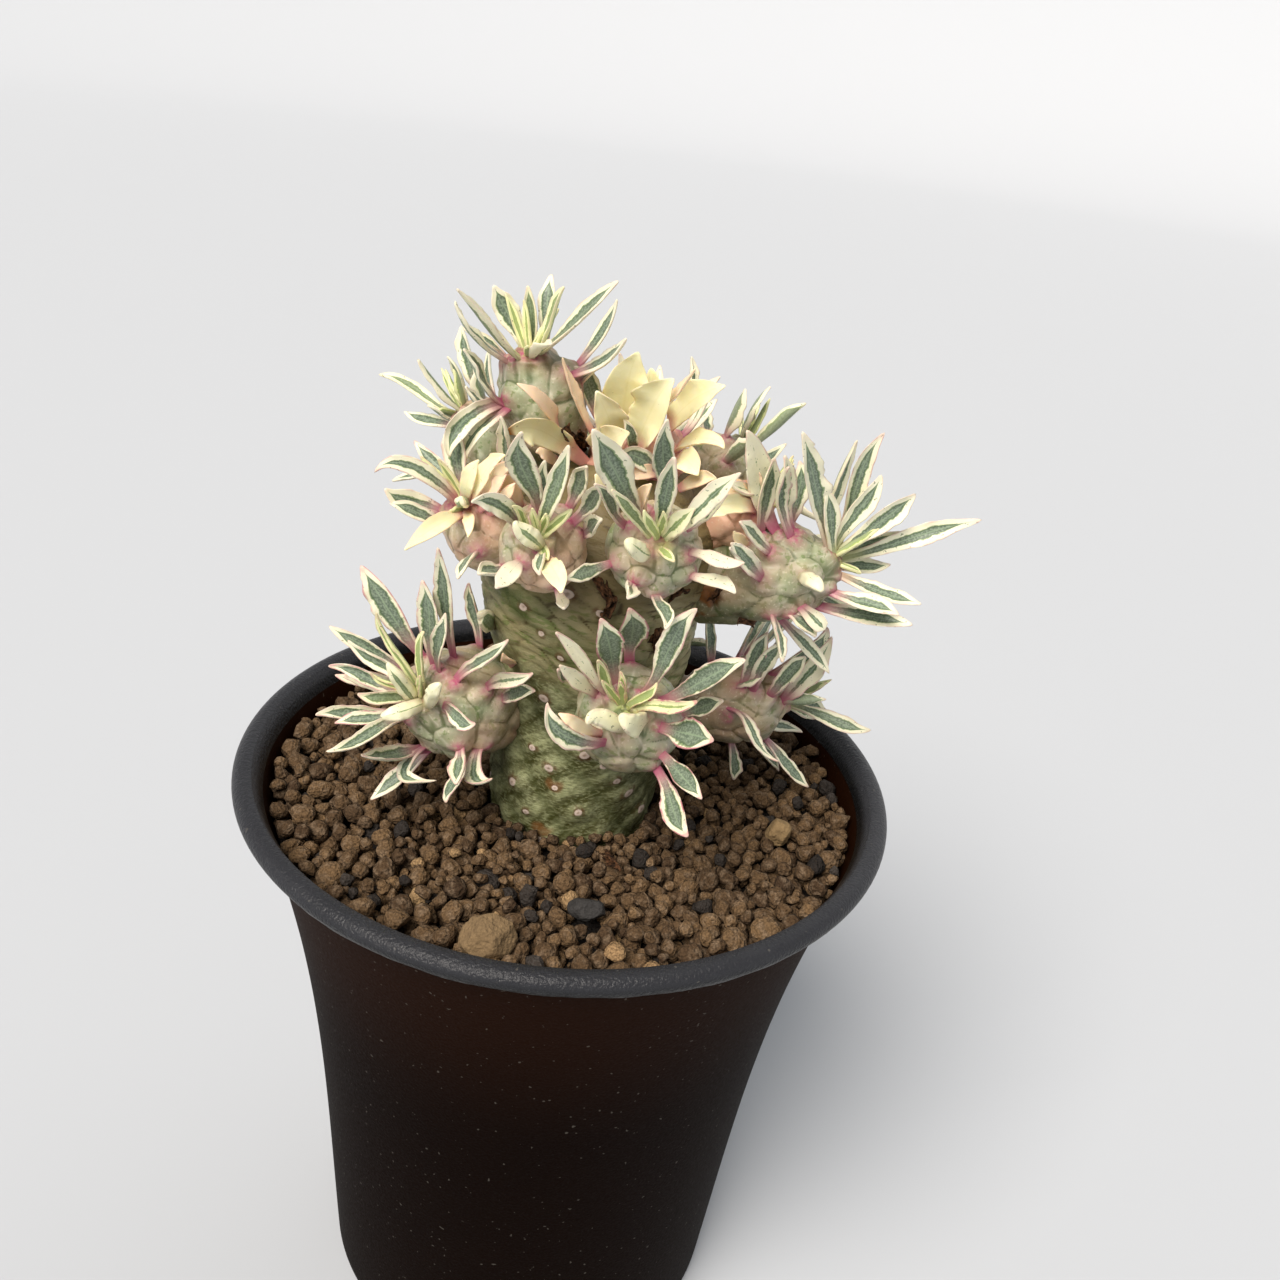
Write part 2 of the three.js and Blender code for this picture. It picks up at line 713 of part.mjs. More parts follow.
group.add(meshOf("pot", makePot(), 0x17181a, 0.5));
group.add(meshOf("soil", largestBody(soilSolid), 0x5a4636, 0.95));
group.add(meshOf("stem", stemSolid, 0x7f8a55, 0.55));

export default group;
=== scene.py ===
import bmesh
import bpy
import numpy as np
from mathutils import Matrix


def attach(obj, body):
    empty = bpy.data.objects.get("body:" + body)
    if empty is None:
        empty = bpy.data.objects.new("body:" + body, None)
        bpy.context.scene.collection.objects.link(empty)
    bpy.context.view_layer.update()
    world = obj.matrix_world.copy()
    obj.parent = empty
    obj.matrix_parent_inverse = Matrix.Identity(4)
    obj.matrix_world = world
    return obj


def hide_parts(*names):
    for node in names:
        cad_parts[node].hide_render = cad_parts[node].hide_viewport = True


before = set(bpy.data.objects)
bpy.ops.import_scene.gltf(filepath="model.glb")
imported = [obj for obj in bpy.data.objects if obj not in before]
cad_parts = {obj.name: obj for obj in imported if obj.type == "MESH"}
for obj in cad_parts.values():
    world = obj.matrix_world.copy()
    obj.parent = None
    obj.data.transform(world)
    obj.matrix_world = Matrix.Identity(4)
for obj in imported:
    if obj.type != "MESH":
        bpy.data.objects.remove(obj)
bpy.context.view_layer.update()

mm = 0.001
upward = np.array((0.0, 0.0, 1.0))
bpy.context.scene.view_settings.view_transform = "Standard"
print("frame loaded:", len(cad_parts), "nodes")


# Small sums that every piece uses

# sRGB text such as "#8a9a6b" as a linear colour with alpha.
def tint(text):
    channels = np.array([int(text[i : i + 2], 16) / 255 for i in (1, 3, 5)])
    linear = np.where(channels <= 0.04045, channels / 12.92, ((channels + 0.055) / 1.055) ** 2.4)
    return (*linear.tolist(), 1.0)


# Rises from 0 at low to 1 at high with flat ends.
def ease(values, low, high):
    part = np.clip((values - low) / (high - low), 0, 1)
    return part * part * (3 - 2 * part)


# Vectors of length one along the last axis.
def unit(vectors):
    return vectors / np.maximum(np.linalg.norm(vectors, axis=-1, keepdims=True), 1e-9)


# A draw in 0..1 for each whole-number place, the same on every run.
def hashDraw(cells, seed):
    mixed = cells @ np.array((127.1, 311.7, 74.7)[: cells.shape[-1]]) + seed * 53.3
    value = np.sin(mixed) * 43758.5453
    return value - np.floor(value)


# Smooth noise in -1..1: draws on whole-number corners, eased between them.
def smoothNoise(points, seed):
    cell = np.floor(points)
    part = points - cell
    part = part * part * (3 - 2 * part)
    total = np.zeros(points.shape[:-1])
    for corner in np.ndindex((2,) * points.shape[-1]):
        weight = np.where(np.array(corner) == 1, part, 1 - part).prod(axis=-1)
        total += weight * hashDraw(cell + np.array(corner), seed)
    return 2 * total - 1


# Distance to the nearest edge of jittered cells on a plane: second nearest less nearest seed.
# The cells repeat after wrap steps of the first coordinate.
def cellEdge(places, wrap, seed):
    cell = np.floor(places)
    nearest = np.full(places.shape[:-1], 9.0)
    second = nearest.copy()
    for step in np.ndindex(3, 3):
        home = cell + np.array(step) - 1
        key = np.stack([home[..., 0] % wrap, home[..., 1]], axis=-1)
        jitter = np.stack([hashDraw(key, seed), hashDraw(key, seed + 7)], axis=-1)
        gap = np.linalg.norm(home + 0.15 + 0.7 * jitter - places, axis=-1)
        second = np.minimum(second, np.maximum(nearest, gap))
        nearest = np.minimum(nearest, gap)
    return second - nearest


# Faces of rings of points joined in order, with a fan to one end point at each end. Rings
# hold count points each, turning left about the way they advance, then come the end points.
def tubeFaces(rings, count):
    row, col = np.meshgrid(np.arange(rings - 1), np.arange(count), indexing="ij")
    after = (col + 1) % count
    here, above = row * count, (row + 1) * count
    quads = np.stack([here + col, here + after, above + after, above + col], axis=-1)
    ring = np.arange(count)
    following = (ring + 1) % count
    low, last = rings * count, (rings - 1) * count
    startFan = np.stack([np.full(count, low), following, ring], axis=-1)
    endFan = np.stack([np.full(count, low + 1), last + ring, last + following], axis=-1)
    return quads.reshape(-1, 4), np.concatenate([startFan, endFan])


# The same faces repeated for copies whose points follow each other, size points each.
def repeatFaces(faces, copies, size):
    shifts = (np.arange(copies) * size)[:, None, None]
    return (faces[None] + shifts).reshape(-1, faces.shape[1])


# A ball of radius one as points and triangles.
def unitBall(levels):
    shape = bmesh.new()
    bmesh.ops.create_icosphere(shape, subdivisions=levels, radius=1)
    points = np.array([vertex.co[:] for vertex in shape.verts])
    triangles = np.array([[vertex.index for vertex in face.verts] for face in shape.faces])
    shape.free()
    return points, triangles


# Rings of count points about the upright axis: radius times the cosine and sine of the turn, and
# the height. Radius and height have one value for each ring.
def ringsOf(radius, height, count):
    around = np.arange(count) * 2 * np.pi / count
    radius, height = radius[:, None], height[:, None]
    return np.stack([radius * np.cos(around), radius * np.sin(around), height + 0 * around], axis=-1)


# A new object of the scene that holds a mesh, a camera or a lamp.
def addObject(name, data):
    made = bpy.data.objects.new(name, data)
    bpy.context.scene.collection.objects.link(made)
    return made


# A piece from points in mm, its faces, its material and the CAD nodes it stands for.
# Fields are numbers for each point that its material reads, and spread is its UV map.
def addPiece(name, points, faces, material, nodes, fields=None, spread=None):
    corners = np.concatenate([part.ravel() for part in faces])
    sizes = np.concatenate([np.full(len(part), part.shape[1]) for part in faces])
    starts = np.concatenate([[0], np.cumsum(sizes)[:-1]])
    mesh = bpy.data.meshes.new(name)
    mesh.vertices.add(len(points))
    mesh.vertices.foreach_set("co", (points * mm).ravel())
    mesh.loops.add(len(corners))
    mesh.loops.foreach_set("vertex_index", corners.astype(np.int32))
    mesh.polygons.add(len(starts))
    mesh.polygons.foreach_set("loop_start", starts.astype(np.int32))
    mesh.update(calc_edges=True)
    mesh.polygons.foreach_set("use_smooth", np.ones(len(starts), dtype=bool))
    for title, values in (fields or {}).items():
        layer = mesh.attributes.new(title, "FLOAT", "POINT")
        layer.data.foreach_set("value", np.asarray(values, dtype=np.float32).ravel())
    if spread is not None:
        layer = mesh.uv_layers.new(name="UVMap")
        layer.uv.foreach_set("vector", spread[corners].astype(np.float32).ravel())
    mesh.materials.append(material)
    mesh.validate()
    piece = addObject(name, mesh)
    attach(piece, "root")
    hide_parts(*nodes)
    return piece


# Camera, floor and light

camera = {
    "position": (0.0, -164.746, 211.578),
    "right": (0.99321, 0.00351, 0.11629),
    "forward": (0.04931, 0.89260, -0.44815),
    "lens": 33.27,
    "sensor": 36.0,
}


# Turns a thing so that its own three axes lie along these, and puts it at a place in mm.
def aim(thing, axes, place):
    matrix = np.eye(4)
    matrix[:3, :3] = np.stack(axes, axis=1)
    matrix[:3, 3] = np.array(place) * mm
    thing.matrix_world = Matrix(matrix.tolist())


# The camera's own axes are right, up and backwards, up being right turned onto forward.
def makeCamera():
    right, forward = np.array(camera["right"]), np.array(camera["forward"])
    data = bpy.data.cameras.new("camera")
    data.lens = camera["lens"]
    data.sensor_width = camera["sensor"]
    data.sensor_fit = "HORIZONTAL"
    data.clip_start = 0.005
    eye = addObject("camera", data)
    aim(eye, (right, np.cross(right, forward), -forward), camera["position"])
    bpy.context.scene.camera = eye


studio = {
    "sides": 96,
    "innerRadius": 0.4,  # metres, as are the next two
    "floorRadius": 2.6,
    "sweepRadius": 1.4,
    "floorTint": "#c3c7cc",
    "worldTint": "#f1f3f6",
    "worldPower": 0.31,
    "lamps": (
        {"name": "key", "from": (-0.45, -0.7, 1.0), "spread": 36, "power": 4.2, "tint": "#fff7ee"},
        {"name": "rear", "from": (0.5, 0.6, 0.8), "spread": 60, "power": 0.4, "tint": "#ffffff"},
    ),
}


# A round pale floor that sweeps up into a low wall, an even pale world, and broad far lamps.
# The sweep is a quarter circle of radius and height about the upright axis.
def makeStudio():
    turn = np.linspace(0, np.pi / 2, 24)
    flat, bend, sides = studio["floorRadius"], studio["sweepRadius"], studio["sides"]
    radius = np.concatenate([[studio["innerRadius"], flat], flat + bend * np.sin(turn[1:])])
    height = np.concatenate([[0, 0], bend * (1 - np.cos(turn[1:]))])
    points = np.concatenate([ringsOf(radius, height, sides).reshape(-1, 3), [(0, 0, 0)]])
    quads, fans = tubeFaces(len(radius), sides)
    faces = quads[:, ::-1].tolist() + fans[:sides, ::-1].tolist()
    mesh = bpy.data.meshes.new("floor")
    mesh.from_pydata(points.tolist(), [], faces)
    mesh.polygons.foreach_set("use_smooth", np.ones(len(faces), dtype=bool))
    paint = newPaint("floor", 0.85, Base_Color=tint(studio["floorTint"]))[0]
    mesh.materials.append(paint)
    addObject("floor", mesh)
    world = bpy.data.worlds.new("studio")
    world.use_nodes = True
    glow = world.node_tree.nodes["Background"]
    glow.inputs["Color"].default_value = tint(studio["worldTint"])
    glow.inputs["Strength"].default_value = studio["worldPower"]
    bpy.context.scene.world = world
    for lamp in studio["lamps"]:
        data = bpy.data.lights.new(lamp["name"], "SUN")
        data.angle = np.radians(lamp["spread"])
        data.energy = lamp["power"]
        data.color = tint(lamp["tint"])[:3]
        back = unit(np.array(lamp["from"]))
        side = unit(np.cross(upward, back))
        aim(addObject(lamp["name"], data), (side, np.cross(back, side), back), (0, 0, 0))


# Materials

# A new material, its node tree and its shader. Even values go on the shader's own sockets.
def newPaint(name, roughness, **sockets):
    paint = bpy.data.materials.new(name)
    paint.use_nodes = True
    shader = paint.node_tree.nodes["Principled BSDF"]
    shader.inputs["Roughness"].default_value = roughness
    for title, value in sockets.items():
        shader.inputs[title.replace("_", " ")].default_value = value
    return paint, paint.node_tree, shader


# Joins a socket to another, or sets it to a plain value.
def plug(tree, socket, value):
    if isinstance(value, bpy.types.NodeSocket):
        tree.links.new(value, socket)
    else:
        socket.default_value = value


# A sum node: its operation on one or two values.
def reckon(tree, operation, first, second=0.0):
    node = tree.nodes.new("ShaderNodeMath")
    node.operation = operation
    plug(tree, node.inputs[0], first)
    plug(tree, node.inputs[1], second)
    return node.outputs[0]


# The three sums most used, as words.
def times(tree, first, second):
    return reckon(tree, "MULTIPLY", first, second)


def plus(tree, first, second):
    return reckon(tree, "ADD", first, second)


def minus(tree, first, second):
    return reckon(tree, "SUBTRACT", first, second)


# A colour that goes from first to second as share goes from 0 to 1.
def blend(tree, share, first, second):
    node = tree.nodes.new("ShaderNodeMix")
    node.data_type = "RGBA"
    plug(tree, node.inputs[0], share)
    plug(tree, node.inputs[6], tint(first) if isinstance(first, str) else first)
    plug(tree, node.inputs[7], tint(second) if isinstance(second, str) else second)
    return node.outputs[2]


# Colours laid over a body one after another. A coat is its colour, its mask and, where the mask
# is weakened, what it is multiplied by.
def coated(tree, body, *coats):
    for colour, mask, *strength in coats:
        body = blend(tree, times(tree, mask, *strength) if strength else mask, body, colour)
    return body


# Rises from 0 to 1 with flat ends as a value goes from low to high.
def rise(tree, value, low, high):
    node = tree.nodes.new("ShaderNodeMapRange")
    node.interpolation_type = "SMOOTHSTEP"
    plug(tree, node.inputs["Value"], value)
    plug(tree, node.inputs["From Min"], low)
    plug(tree, node.inputs["From Max"], high)
    return node.outputs[0]


# Noise in about 0..1 on object coordinates, with grains of size mm, stretched by a mapping.
def mottle(tree, size, detail=2.0, stretch=(1, 1, 1)):
    place = tree.nodes.new("ShaderNodeTexCoord")
    turn = tree.nodes.new("ShaderNodeMapping")
    turn.inputs["Scale"].default_value = stretch
    node = tree.nodes.new("ShaderNodeTexNoise")
    node.inputs["Scale"].default_value = 1 / (size * mm)
    node.inputs["Detail"].default_value = detail
    tree.links.new(place.outputs["Object"], turn.inputs["Vector"])
    tree.links.new(turn.outputs["Vector"], node.inputs["Vector"])
    return node.outputs["Fac"]


# The same noise cut down to patches: 0 below low, 1 above high, or the other way round.
def patches(tree, size, detail, low, high, stretch=(1, 1, 1)):
    return rise(tree, mottle(tree, size, detail, stretch), low, high)


# Two colours that pass into each other by that noise.
def cloudy(tree, size, detail, first, second):
    return blend(tree, mottle(tree, size, detail), first, second)


# Distance to the middle of scattered cells on object coordinates, cells of size mm.
def pits(tree, size):
    place = tree.nodes.new("ShaderNodeTexCoord")
    node = tree.nodes.new("ShaderNodeTexVoronoi")
    node.inputs["Scale"].default_value = 1 / (size * mm)
    tree.links.new(place.outputs["Object"], node.inputs["Vector"])
    return node.outputs["Distance"]


# A piece's own field.
def field(tree, title):
    node = tree.nodes.new("ShaderNodeAttribute")
    node.attribute_name = title
    return node.outputs["Fac"]


# Gives a shader its colour and its small relief: height in 0..1 stands for up to depth mm.
def dress(tree, shader, colour, height, depth, strength):
    tree.links.new(colour, shader.inputs["Base Color"])
    node = tree.nodes.new("ShaderNodeBump")
    node.inputs["Distance"].default_value = depth * mm
    node.inputs["Strength"].default_value = strength
    tree.links.new(height, node.inputs["Height"])
    tree.links.new(node.outputs["Normal"], shader.inputs["Normal"])


# Pot

pot = {
    "turns": 160,
    "rimRadius": 52.5,
    "rollWide": 1.9,  # half the roll's width
    "rollHigh": 1.65,  # half its height
    "rimHeight": 104.85,
    "neckRadius": 49.0,
    "baseRadius": 36.3,
    "chamfer": 1.6,
    "hollow": 11.45,  # how far the flare's sides are drawn in
    "hollowLean": 5.95,  # how much more of that lies near the rim
    "wall": 1.0,
    "floor": 2.4,
    "rollFrom": -95.0,  # degrees round the roll, 0 outwards
    "rollTo": 122.0,
    "seamAngle": -50.0,  # parting line on the roll
    "seamSpread": 5.0,  # degrees
    "seamHeight": 0.16,
    "holes": 6,
    "holeRadius": 3.5,
    "holeRing": 22.0,
    "holeSides": 32,
}


# Radius of the pot's outer wall at a height: a straight flare less a hollow of two humps.
def potRadius(height):
    top = pot["rimHeight"] - pot["rollHigh"]
    depth = (top - height) / top
    hump = depth * (1 - depth)
    hollow = pot["hollow"] * hump + pot["hollowLean"] * hump * (1 - 2 * depth)
    return pot["neckRadius"] + (pot["baseRadius"] - pot["neckRadius"]) * depth - hollow


# A profile of (radius, height) turned about the upright axis; both its ends lie on the axis.
def spin(profile, count):
    rings = ringsOf(profile[1:-1, 0], profile[1:-1, 1], count)
    ends = np.array([(0, 0, profile[0, 1]), (0, 0, profile[-1, 1])])
    return np.concatenate([rings.reshape(-1, 3), ends]), tubeFaces(len(profile) - 2, count)


# The pot's finish: the roll is finely grained and catches light, the wall is smooth and dark.
# Painted shade darkens the underside of the roll. Painted light and a painted reflection of a brown
# surface turn the wall lighter brown towards the rim, and its reflections are tinted brown.
def makePotPaint(name, onRim):
    # On the wall the reflections are tinted brown, a painted reflection of a brown surface.
    paint, tree, shader = newPaint(
        name, 0.5, Specular_IOR_Level=0.26 if onRim else 0.04,
        Specular_Tint=tint("#ffffff" if onRim else "#b06a48"),
    )
    place = tree.nodes.new("ShaderNodeTexCoord")
    parts = tree.nodes.new("ShaderNodeSeparateXYZ")
    tree.links.new(place.outputs["Object"], parts.inputs[0])
    height, grain = parts.outputs["Z"], mottle(tree, 0.42, 2.0)
    if onRim:
        body = cloudy(tree, 9.0, 3.0, "#25262a", "#303135")
        # Painted shade: the underside of the roll is near black.
        paintedLightAndShade = ("#020203", rise(tree, height, 0.1056, 0.104))
    else:
        body = cloudy(tree, 9.0, 3.0, "#090301", "#0d0502")
        # Painted light and a painted reflection of a brown surface: the wall turns lighter brown towards
        # the rim.
        paintedLightAndShade = ("#221006", rise(tree, height, 0.06, 0.104), 0.8)
    scuff = times(tree, field(tree, "scuff"), patches(tree, 1.6, 3.0, 0.42, 0.6))
    specks = patches(tree, 0.8, 1.0, 0.735, 0.765)
    body = coated(tree, body, paintedLightAndShade, ("#8a857c", specks, 0.22), ("#9b9b9b", scuff, 0.5))
    gloss = plus(tree, times(tree, grain, 0.28), 0.24 if onRim else 0.5)
    tree.links.new(gloss, shader.inputs["Roughness"])
    dress(tree, shader, body, grain, 0.24 if onRim else 0.05, 0.9)
    return paint


# The pot: one profile from the middle of the base, out, up the wall, round the roll and back
# down the inside. A thin broken bead stands on the roll where the mould parted.
def makePot():
    base, chamfer, wall, floor = (pot[key] for key in ("baseRadius", "chamfer", "wall", "floor"))
    wide, high, rim = pot["rollWide"], pot["rollHigh"], pot["rimHeight"]
    neck, centre = rim - high, pot["rimRadius"] - wide
    outer = np.linspace(chamfer, neck - 0.3, 60)
    inner = np.linspace(neck, floor + 1, 40)
    bevel = np.linspace(0, np.pi / 2, 5)[1:-1]
    angle = np.radians(np.linspace(pot["rollFrom"], pot["rollTo"], 72))
    profile = np.concatenate([
        [(0, 0), (20, 0), (base - chamfer, 0)],
        np.stack([base - chamfer + chamfer * np.sin(bevel), chamfer - chamfer * np.cos(bevel)], -1),
        np.stack([potRadius(outer), outer], -1),
        np.stack([centre + wide * np.cos(angle), rim + high * np.sin(angle)], -1),
        np.stack([potRadius(inner) - wall, inner], -1),
        [(potRadius(floor) - wall - 0.6, floor), (18, floor), (0, floor)],
    ])
    points, faces = spin(profile, pot["turns"])
    around = np.arctan2(points[:, 1], points[:, 0])
    radius = np.hypot(points[:, 0], points[:, 1])
    turned = np.degrees(np.arctan2((points[:, 2] - rim) / high, (radius - centre) / wide))
    onRoll = (radius > centre) & (points[:, 2] > neck - 0.1)
    bead = np.exp(-(((turned - pot["seamAngle"]) / pot["seamSpread"]) ** 2)) * onRoll
    broken = 0.55 + 0.45 * smoothNoise(np.stack([around * 24, radius * 0], -1), 3)
    outwards = np.stack([np.cos(around), np.sin(around), -0.5 + 0 * around], -1)
    points += outwards * (bead * broken * pot["seamHeight"])[:, None]
    paint, fields = makePotPaint("pot_wall", False), {"scuff": bead * broken}
    shell = addPiece("pot_shell", points, faces, paint, ["pot"], fields)
    shell.data.materials.append(makePotPaint("pot_rim", True))
    inmost, lowest = (values[faces[0]].min(axis=1) for values in (radius, points[:, 2]))
    isRim = (inmost > potRadius(neck) - wall - 0.2) & (lowest > neck - 0.2)
    isRim = np.append(isRim, np.zeros(len(faces[1]), dtype=bool))
    shell.data.polygons.foreach_set("material_index", isRim.astype(np.int32))
    cutHoles(shell)


# Round drain holes cut through the pot's floor.
def cutHoles(shell):
    count, sides = pot["holes"], pot["holeSides"]
    rings = ringsOf(np.full(2, pot["holeRadius"]), np.array((-3.0, pot["floor"] + 3.0)), sides)
    rod = np.concatenate([rings.reshape(-1, 3), rings.mean(axis=1)])
    shifts = ringsOf(np.array([pot["holeRing"]]), np.zeros(1), count)[0]
    points = (rod[None] + shifts[:, None]).reshape(-1, 3)
    quads, fans = (repeatFaces(part, count, len(rod)).tolist() for part in tubeFaces(2, sides))
    mesh = bpy.data.meshes.new("hole_cutter")
    mesh.from_pydata((points * mm).tolist(), [], quads + fans)
    cutter = addObject("hole_cutter", mesh)
    cut = shell.modifiers.new("holes", "BOOLEAN")
    cut.operation = "DIFFERENCE"
    cut.solver = "EXACT"
    cut.object = cutter
    shown = bpy.context.evaluated_depsgraph_get()
    shell.data = bpy.data.meshes.new_from_object(shell.evaluated_get(shown))
    shell.data.name = "pot_shell"
    shell.modifiers.clear()
    bpy.data.objects.remove(cutter)
    bpy.data.meshes.remove(mesh)


# Stem shape, which the soil and the heads also read

stem = {
    "outline": (
        (88, 12.2), (100, 12.9), (106, 13.5), (120, 13.6), (128, 14.9),
        (135, 16.6), (142, 17.4), (148, 16.6), (153, 13.2), (157, 7.6),
    ),
    "path": ((88, 0.8, -2), (104, 1, -2), (118, 2, -1), (135, 1.2, 0), (148, 2, 0), (158, 4, 0)),
    "foot": 88.0,
    "ground": 98.0,
    "top": 157.0,
    "columns": 270,
    "rows": 204,
    "ribTurn": 13.0,  # degrees and mm from one wart to the next along a spiral rib
    "wartStep": 3.8,
    "ribs": 10,
    "firstWart": (16.1, 2.66),
    "wartRelief": 0.5,
    "plateRelief": 0.24,
    "lumps": 0.5,
    "grain": 0.22,
    "barkFrom": (124, 134),  # heights over which bark plates take over from warts
    "plate": (6.4, 1.9),  # width and height of a bark plate
    "scarSize": (0.5, 0.36),  # the least size of a scar, and how much more it may have
    "scarRise": 0.36,
    "scarDip": 0.16,
    "backScars": (100, 150, 3.9),  # heights of rings of three scars behind, and their step
    # Leaf scars seen from the front: angle round the stem and height
    "scars": (
        (-139.8, 142.0), (-125.7, 139.2), (-114.8, 135.9), (-104.1, 143.3), (-88.1, 141.2),
        (-54.8, 143.9), (-104.1, 132.7), (-115.1, 124.7), (-122.8, 115.3), (-133.6, 108.1),
        (-109.1, 112.9), (-88.0, 116.3), (-75.1, 114.5), (-103.0, 109.9), (-85.2, 106.2),
        (-119.5, 104.2), (-69.8, 101.4), (-63.9, 111.5), (-52.0, 108.7), (-33.7, 103.9),
        (-108.5, 99.8),
    ),
    "rust": ((-107.0, 101.6, 2.6), (-103.0, 110.2, 2.3)),  # orange-brown patches
}


# A listed value at a height, read along straight lines and evened over a few mm.
def along(table, height, column=1):
    rows = np.array(table, dtype=float)
    near = np.arange(-3, 4) * 0.9
    return np.mean([np.interp(height + step, rows[:, 0], rows[:, column]) for step in near], axis=0)


# The middle of the stem at a height.
def stemMiddle(height):
    return np.stack([along(stem["path"], height, 1), along(stem["path"], height, 2), height + 0.0], -1)


# Grit

grit = {
    "level": 101.3,  # at the pot's axis
    "dish": 1.1,  # how much higher it lies at dishRadius
    "dishRadius": 46,
    "swell": 0.7,
    "bedLevel": 98.0,
    "gap": 0.35,
    "grains": 2650,
    "sizes": ((2.1, 2.75, 0.05), (1.5, 2.05, 0.33), (1.05, 1.45, 0.36), (0.7, 1.0, 0.26)),
    "tries": 14,  # places a grain may fall on
    "stemClear": 13.0,  # mm round the stem's middle at (1, -2) that stays free of grains
    "stretch": (0.84, 1.16),
    "puff": 1.1,
    "tones": 2.2,  # how closely tones gather round their middle
    "kinds": (0.915, 0.055, 0.03),  # shares of brown, dark and tan grains
    "touch": 0.86,  # share of two radii at which grains meet
    "planes": 8,
    "chip": (0.5, 0.88),
    "rough": 0.06,
}
stones = {
    "tan_stone": {"node": "stone_tan", "slot": "pale_stone", "at": (-8.2, -41.6, 103),
                  "size": (3.5, 2.7, 3.1), "turn": 10, "seed": 5,
                  "colours": ("#6d5a42", "#987f5d"), "roughness": 0.95},
    "dark_stone": {"node": "stone_dark", "slot": "dark_stone", "at": (4.8, -33.4, 102.6),
                   "size": (2.6, 1.6, 1.5), "turn": -8, "seed": 12,
                   "colours": ("#2a2928", "#474544"), "roughness": 0.75},
    "pale_stone": {"node": "stone_pale", "slot": "pale_stone", "at": (34.4, -10.6, 102.8),
                   "size": (2, 1.9, 2), "turn": 20, "seed": 8,
                   "colours": ("#80694a", "#a88e66"), "roughness": 0.9},
}


# Grit: brown by a grain's tone, dark for kind 1 and tan for kind 2, dusty and pitted.
def makeGritPaint():
    paint, tree, shader = newPaint("grit", 0.95, Specular_IOR_Level=0.15)
    tone, kind = field(tree, "tone"), field(tree, "kind")
    body = coated(
        tree, blend(tree, tone, "#453527", "#82684a"),
        ("#96816a", patches(tree, 1.1, 4.0, 0.45, 0.68), 0.5),
        (blend(tree, tone, "#262423", "#4a4541"), rise(tree, kind, 0.6, 0.7)),
        (blend(tree, tone, "#9a7a58", "#b8996f"), rise(tree, kind, 1.6, 1.7)),
        ("#281d14", patches(tree, 0.28, 2.0, 0.62, 0.4), 0.45),
    )
    relief = plus(tree, times(tree, pits(tree, 0.6), 0.8), mottle(tree, 0.5, 4.0))
    dress(tree, shader, body, relief, 0.42, 1.0)
    return paint


# A stone: two colours by noise with darker grains, and a pitted surface.
def makeStonePaint(name, low, high, roughness):
    paint, tree, shader = newPaint(name, roughness, Specular_IOR_Level=0.2)
    grains = patches(tree, 0.3, 2.0, 0.6, 0.42)
    body = coated(tree, cloudy(tree, 1.4, 4.0, low, high), (low, grains, 0.35))
    relief = plus(tree, times(tree, pits(tree, 0.7), 0.6), mottle(tree, 0.5, 4.0))
    dress(tree, shader, body, relief, 0.35, 0.8)
    return paint


# Lumps: a ball stretched three ways, chipped by flat planes, turned at random. A point moves
# in along its own ray until it lies under every plane.
def chipBalls(ball, stretch, draw, planes, chip):
    count = len(stretch)
    normals = unit(draw.normal(size=(count, planes, 3)))
    depths = draw.uniform(*chip, size=(count, 1, planes))
    reach = np.maximum(np.einsum("pk,nqk->npq", ball, normals), 1e-6)
    shrink = np.minimum(1, depths / reach).min(axis=2)
    rounded = ball[None] * shrink[..., None] * stretch[:, None]
    first = unit(draw.normal(size=(count, 3)))
    second = unit(np.cross(first, draw.normal(size=(count, 3))))
    turned = np.stack([first, second, np.cross(first, second)], axis=1)
    return np.einsum("npk,nkl->npl", rounded, turned)


# Where grains come to rest when they are dropped one by one: each takes the lowest of a few
# places, a place's height being that of a ball touching the balls already there.
def dropGrains(draw):
    rest = []
    settled = np.array([(*stone["at"], max(stone["size"]) * 0.9) for stone in stones.values()])
    sizes = np.array(grit["sizes"])
    for _ in range(grit["grains"]):
        radius = draw.uniform(*sizes[draw.choice(len(sizes), p=sizes[:, 2]), :2])
        reach = potRadius(grit["level"]) - pot["wall"] - radius
        away = reach * np.sqrt(draw.uniform(size=grit["tries"]))
        turn = draw.uniform(0, 2 * np.pi, size=grit["tries"])
        places = np.stack([away * np.cos(turn), away * np.sin(turn)], -1)
        clear = np.hypot(places[:, 0] - 1, places[:, 1] + 2) > grit["stemClear"] + radius * 0.7
        gap = np.hypot(places[:, :1] - settled[None, :, 0], places[:, 1:] - settled[None, :, 1])
        touch = grit["touch"] * (radius + settled[None, :, 3])
        lift = np.sqrt(np.maximum(touch**2 - gap**2, 0))
        heights = np.where(gap < touch, settled[None, :, 2] + lift, 0).max(axis=1)
        heights = np.maximum(heights, grit["bedLevel"] + radius * 0.3)
        heights[~clear] = np.inf
        best = int(np.argmin(heights))
        swell = grit["swell"] * smoothNoise(places[best][None] / 14, 21)[0]
        top = grit["level"] + grit["dish"] * (away[best] / grit["dishRadius"]) ** 2 + 1.3 + swell
        if heights[best] + radius * 0.9 > top:
            continue
        grain = (*places[best], heights[best], radius)
        settled = np.vstack([settled, grain])
        rest.append(grain)
    return np.array(rest)
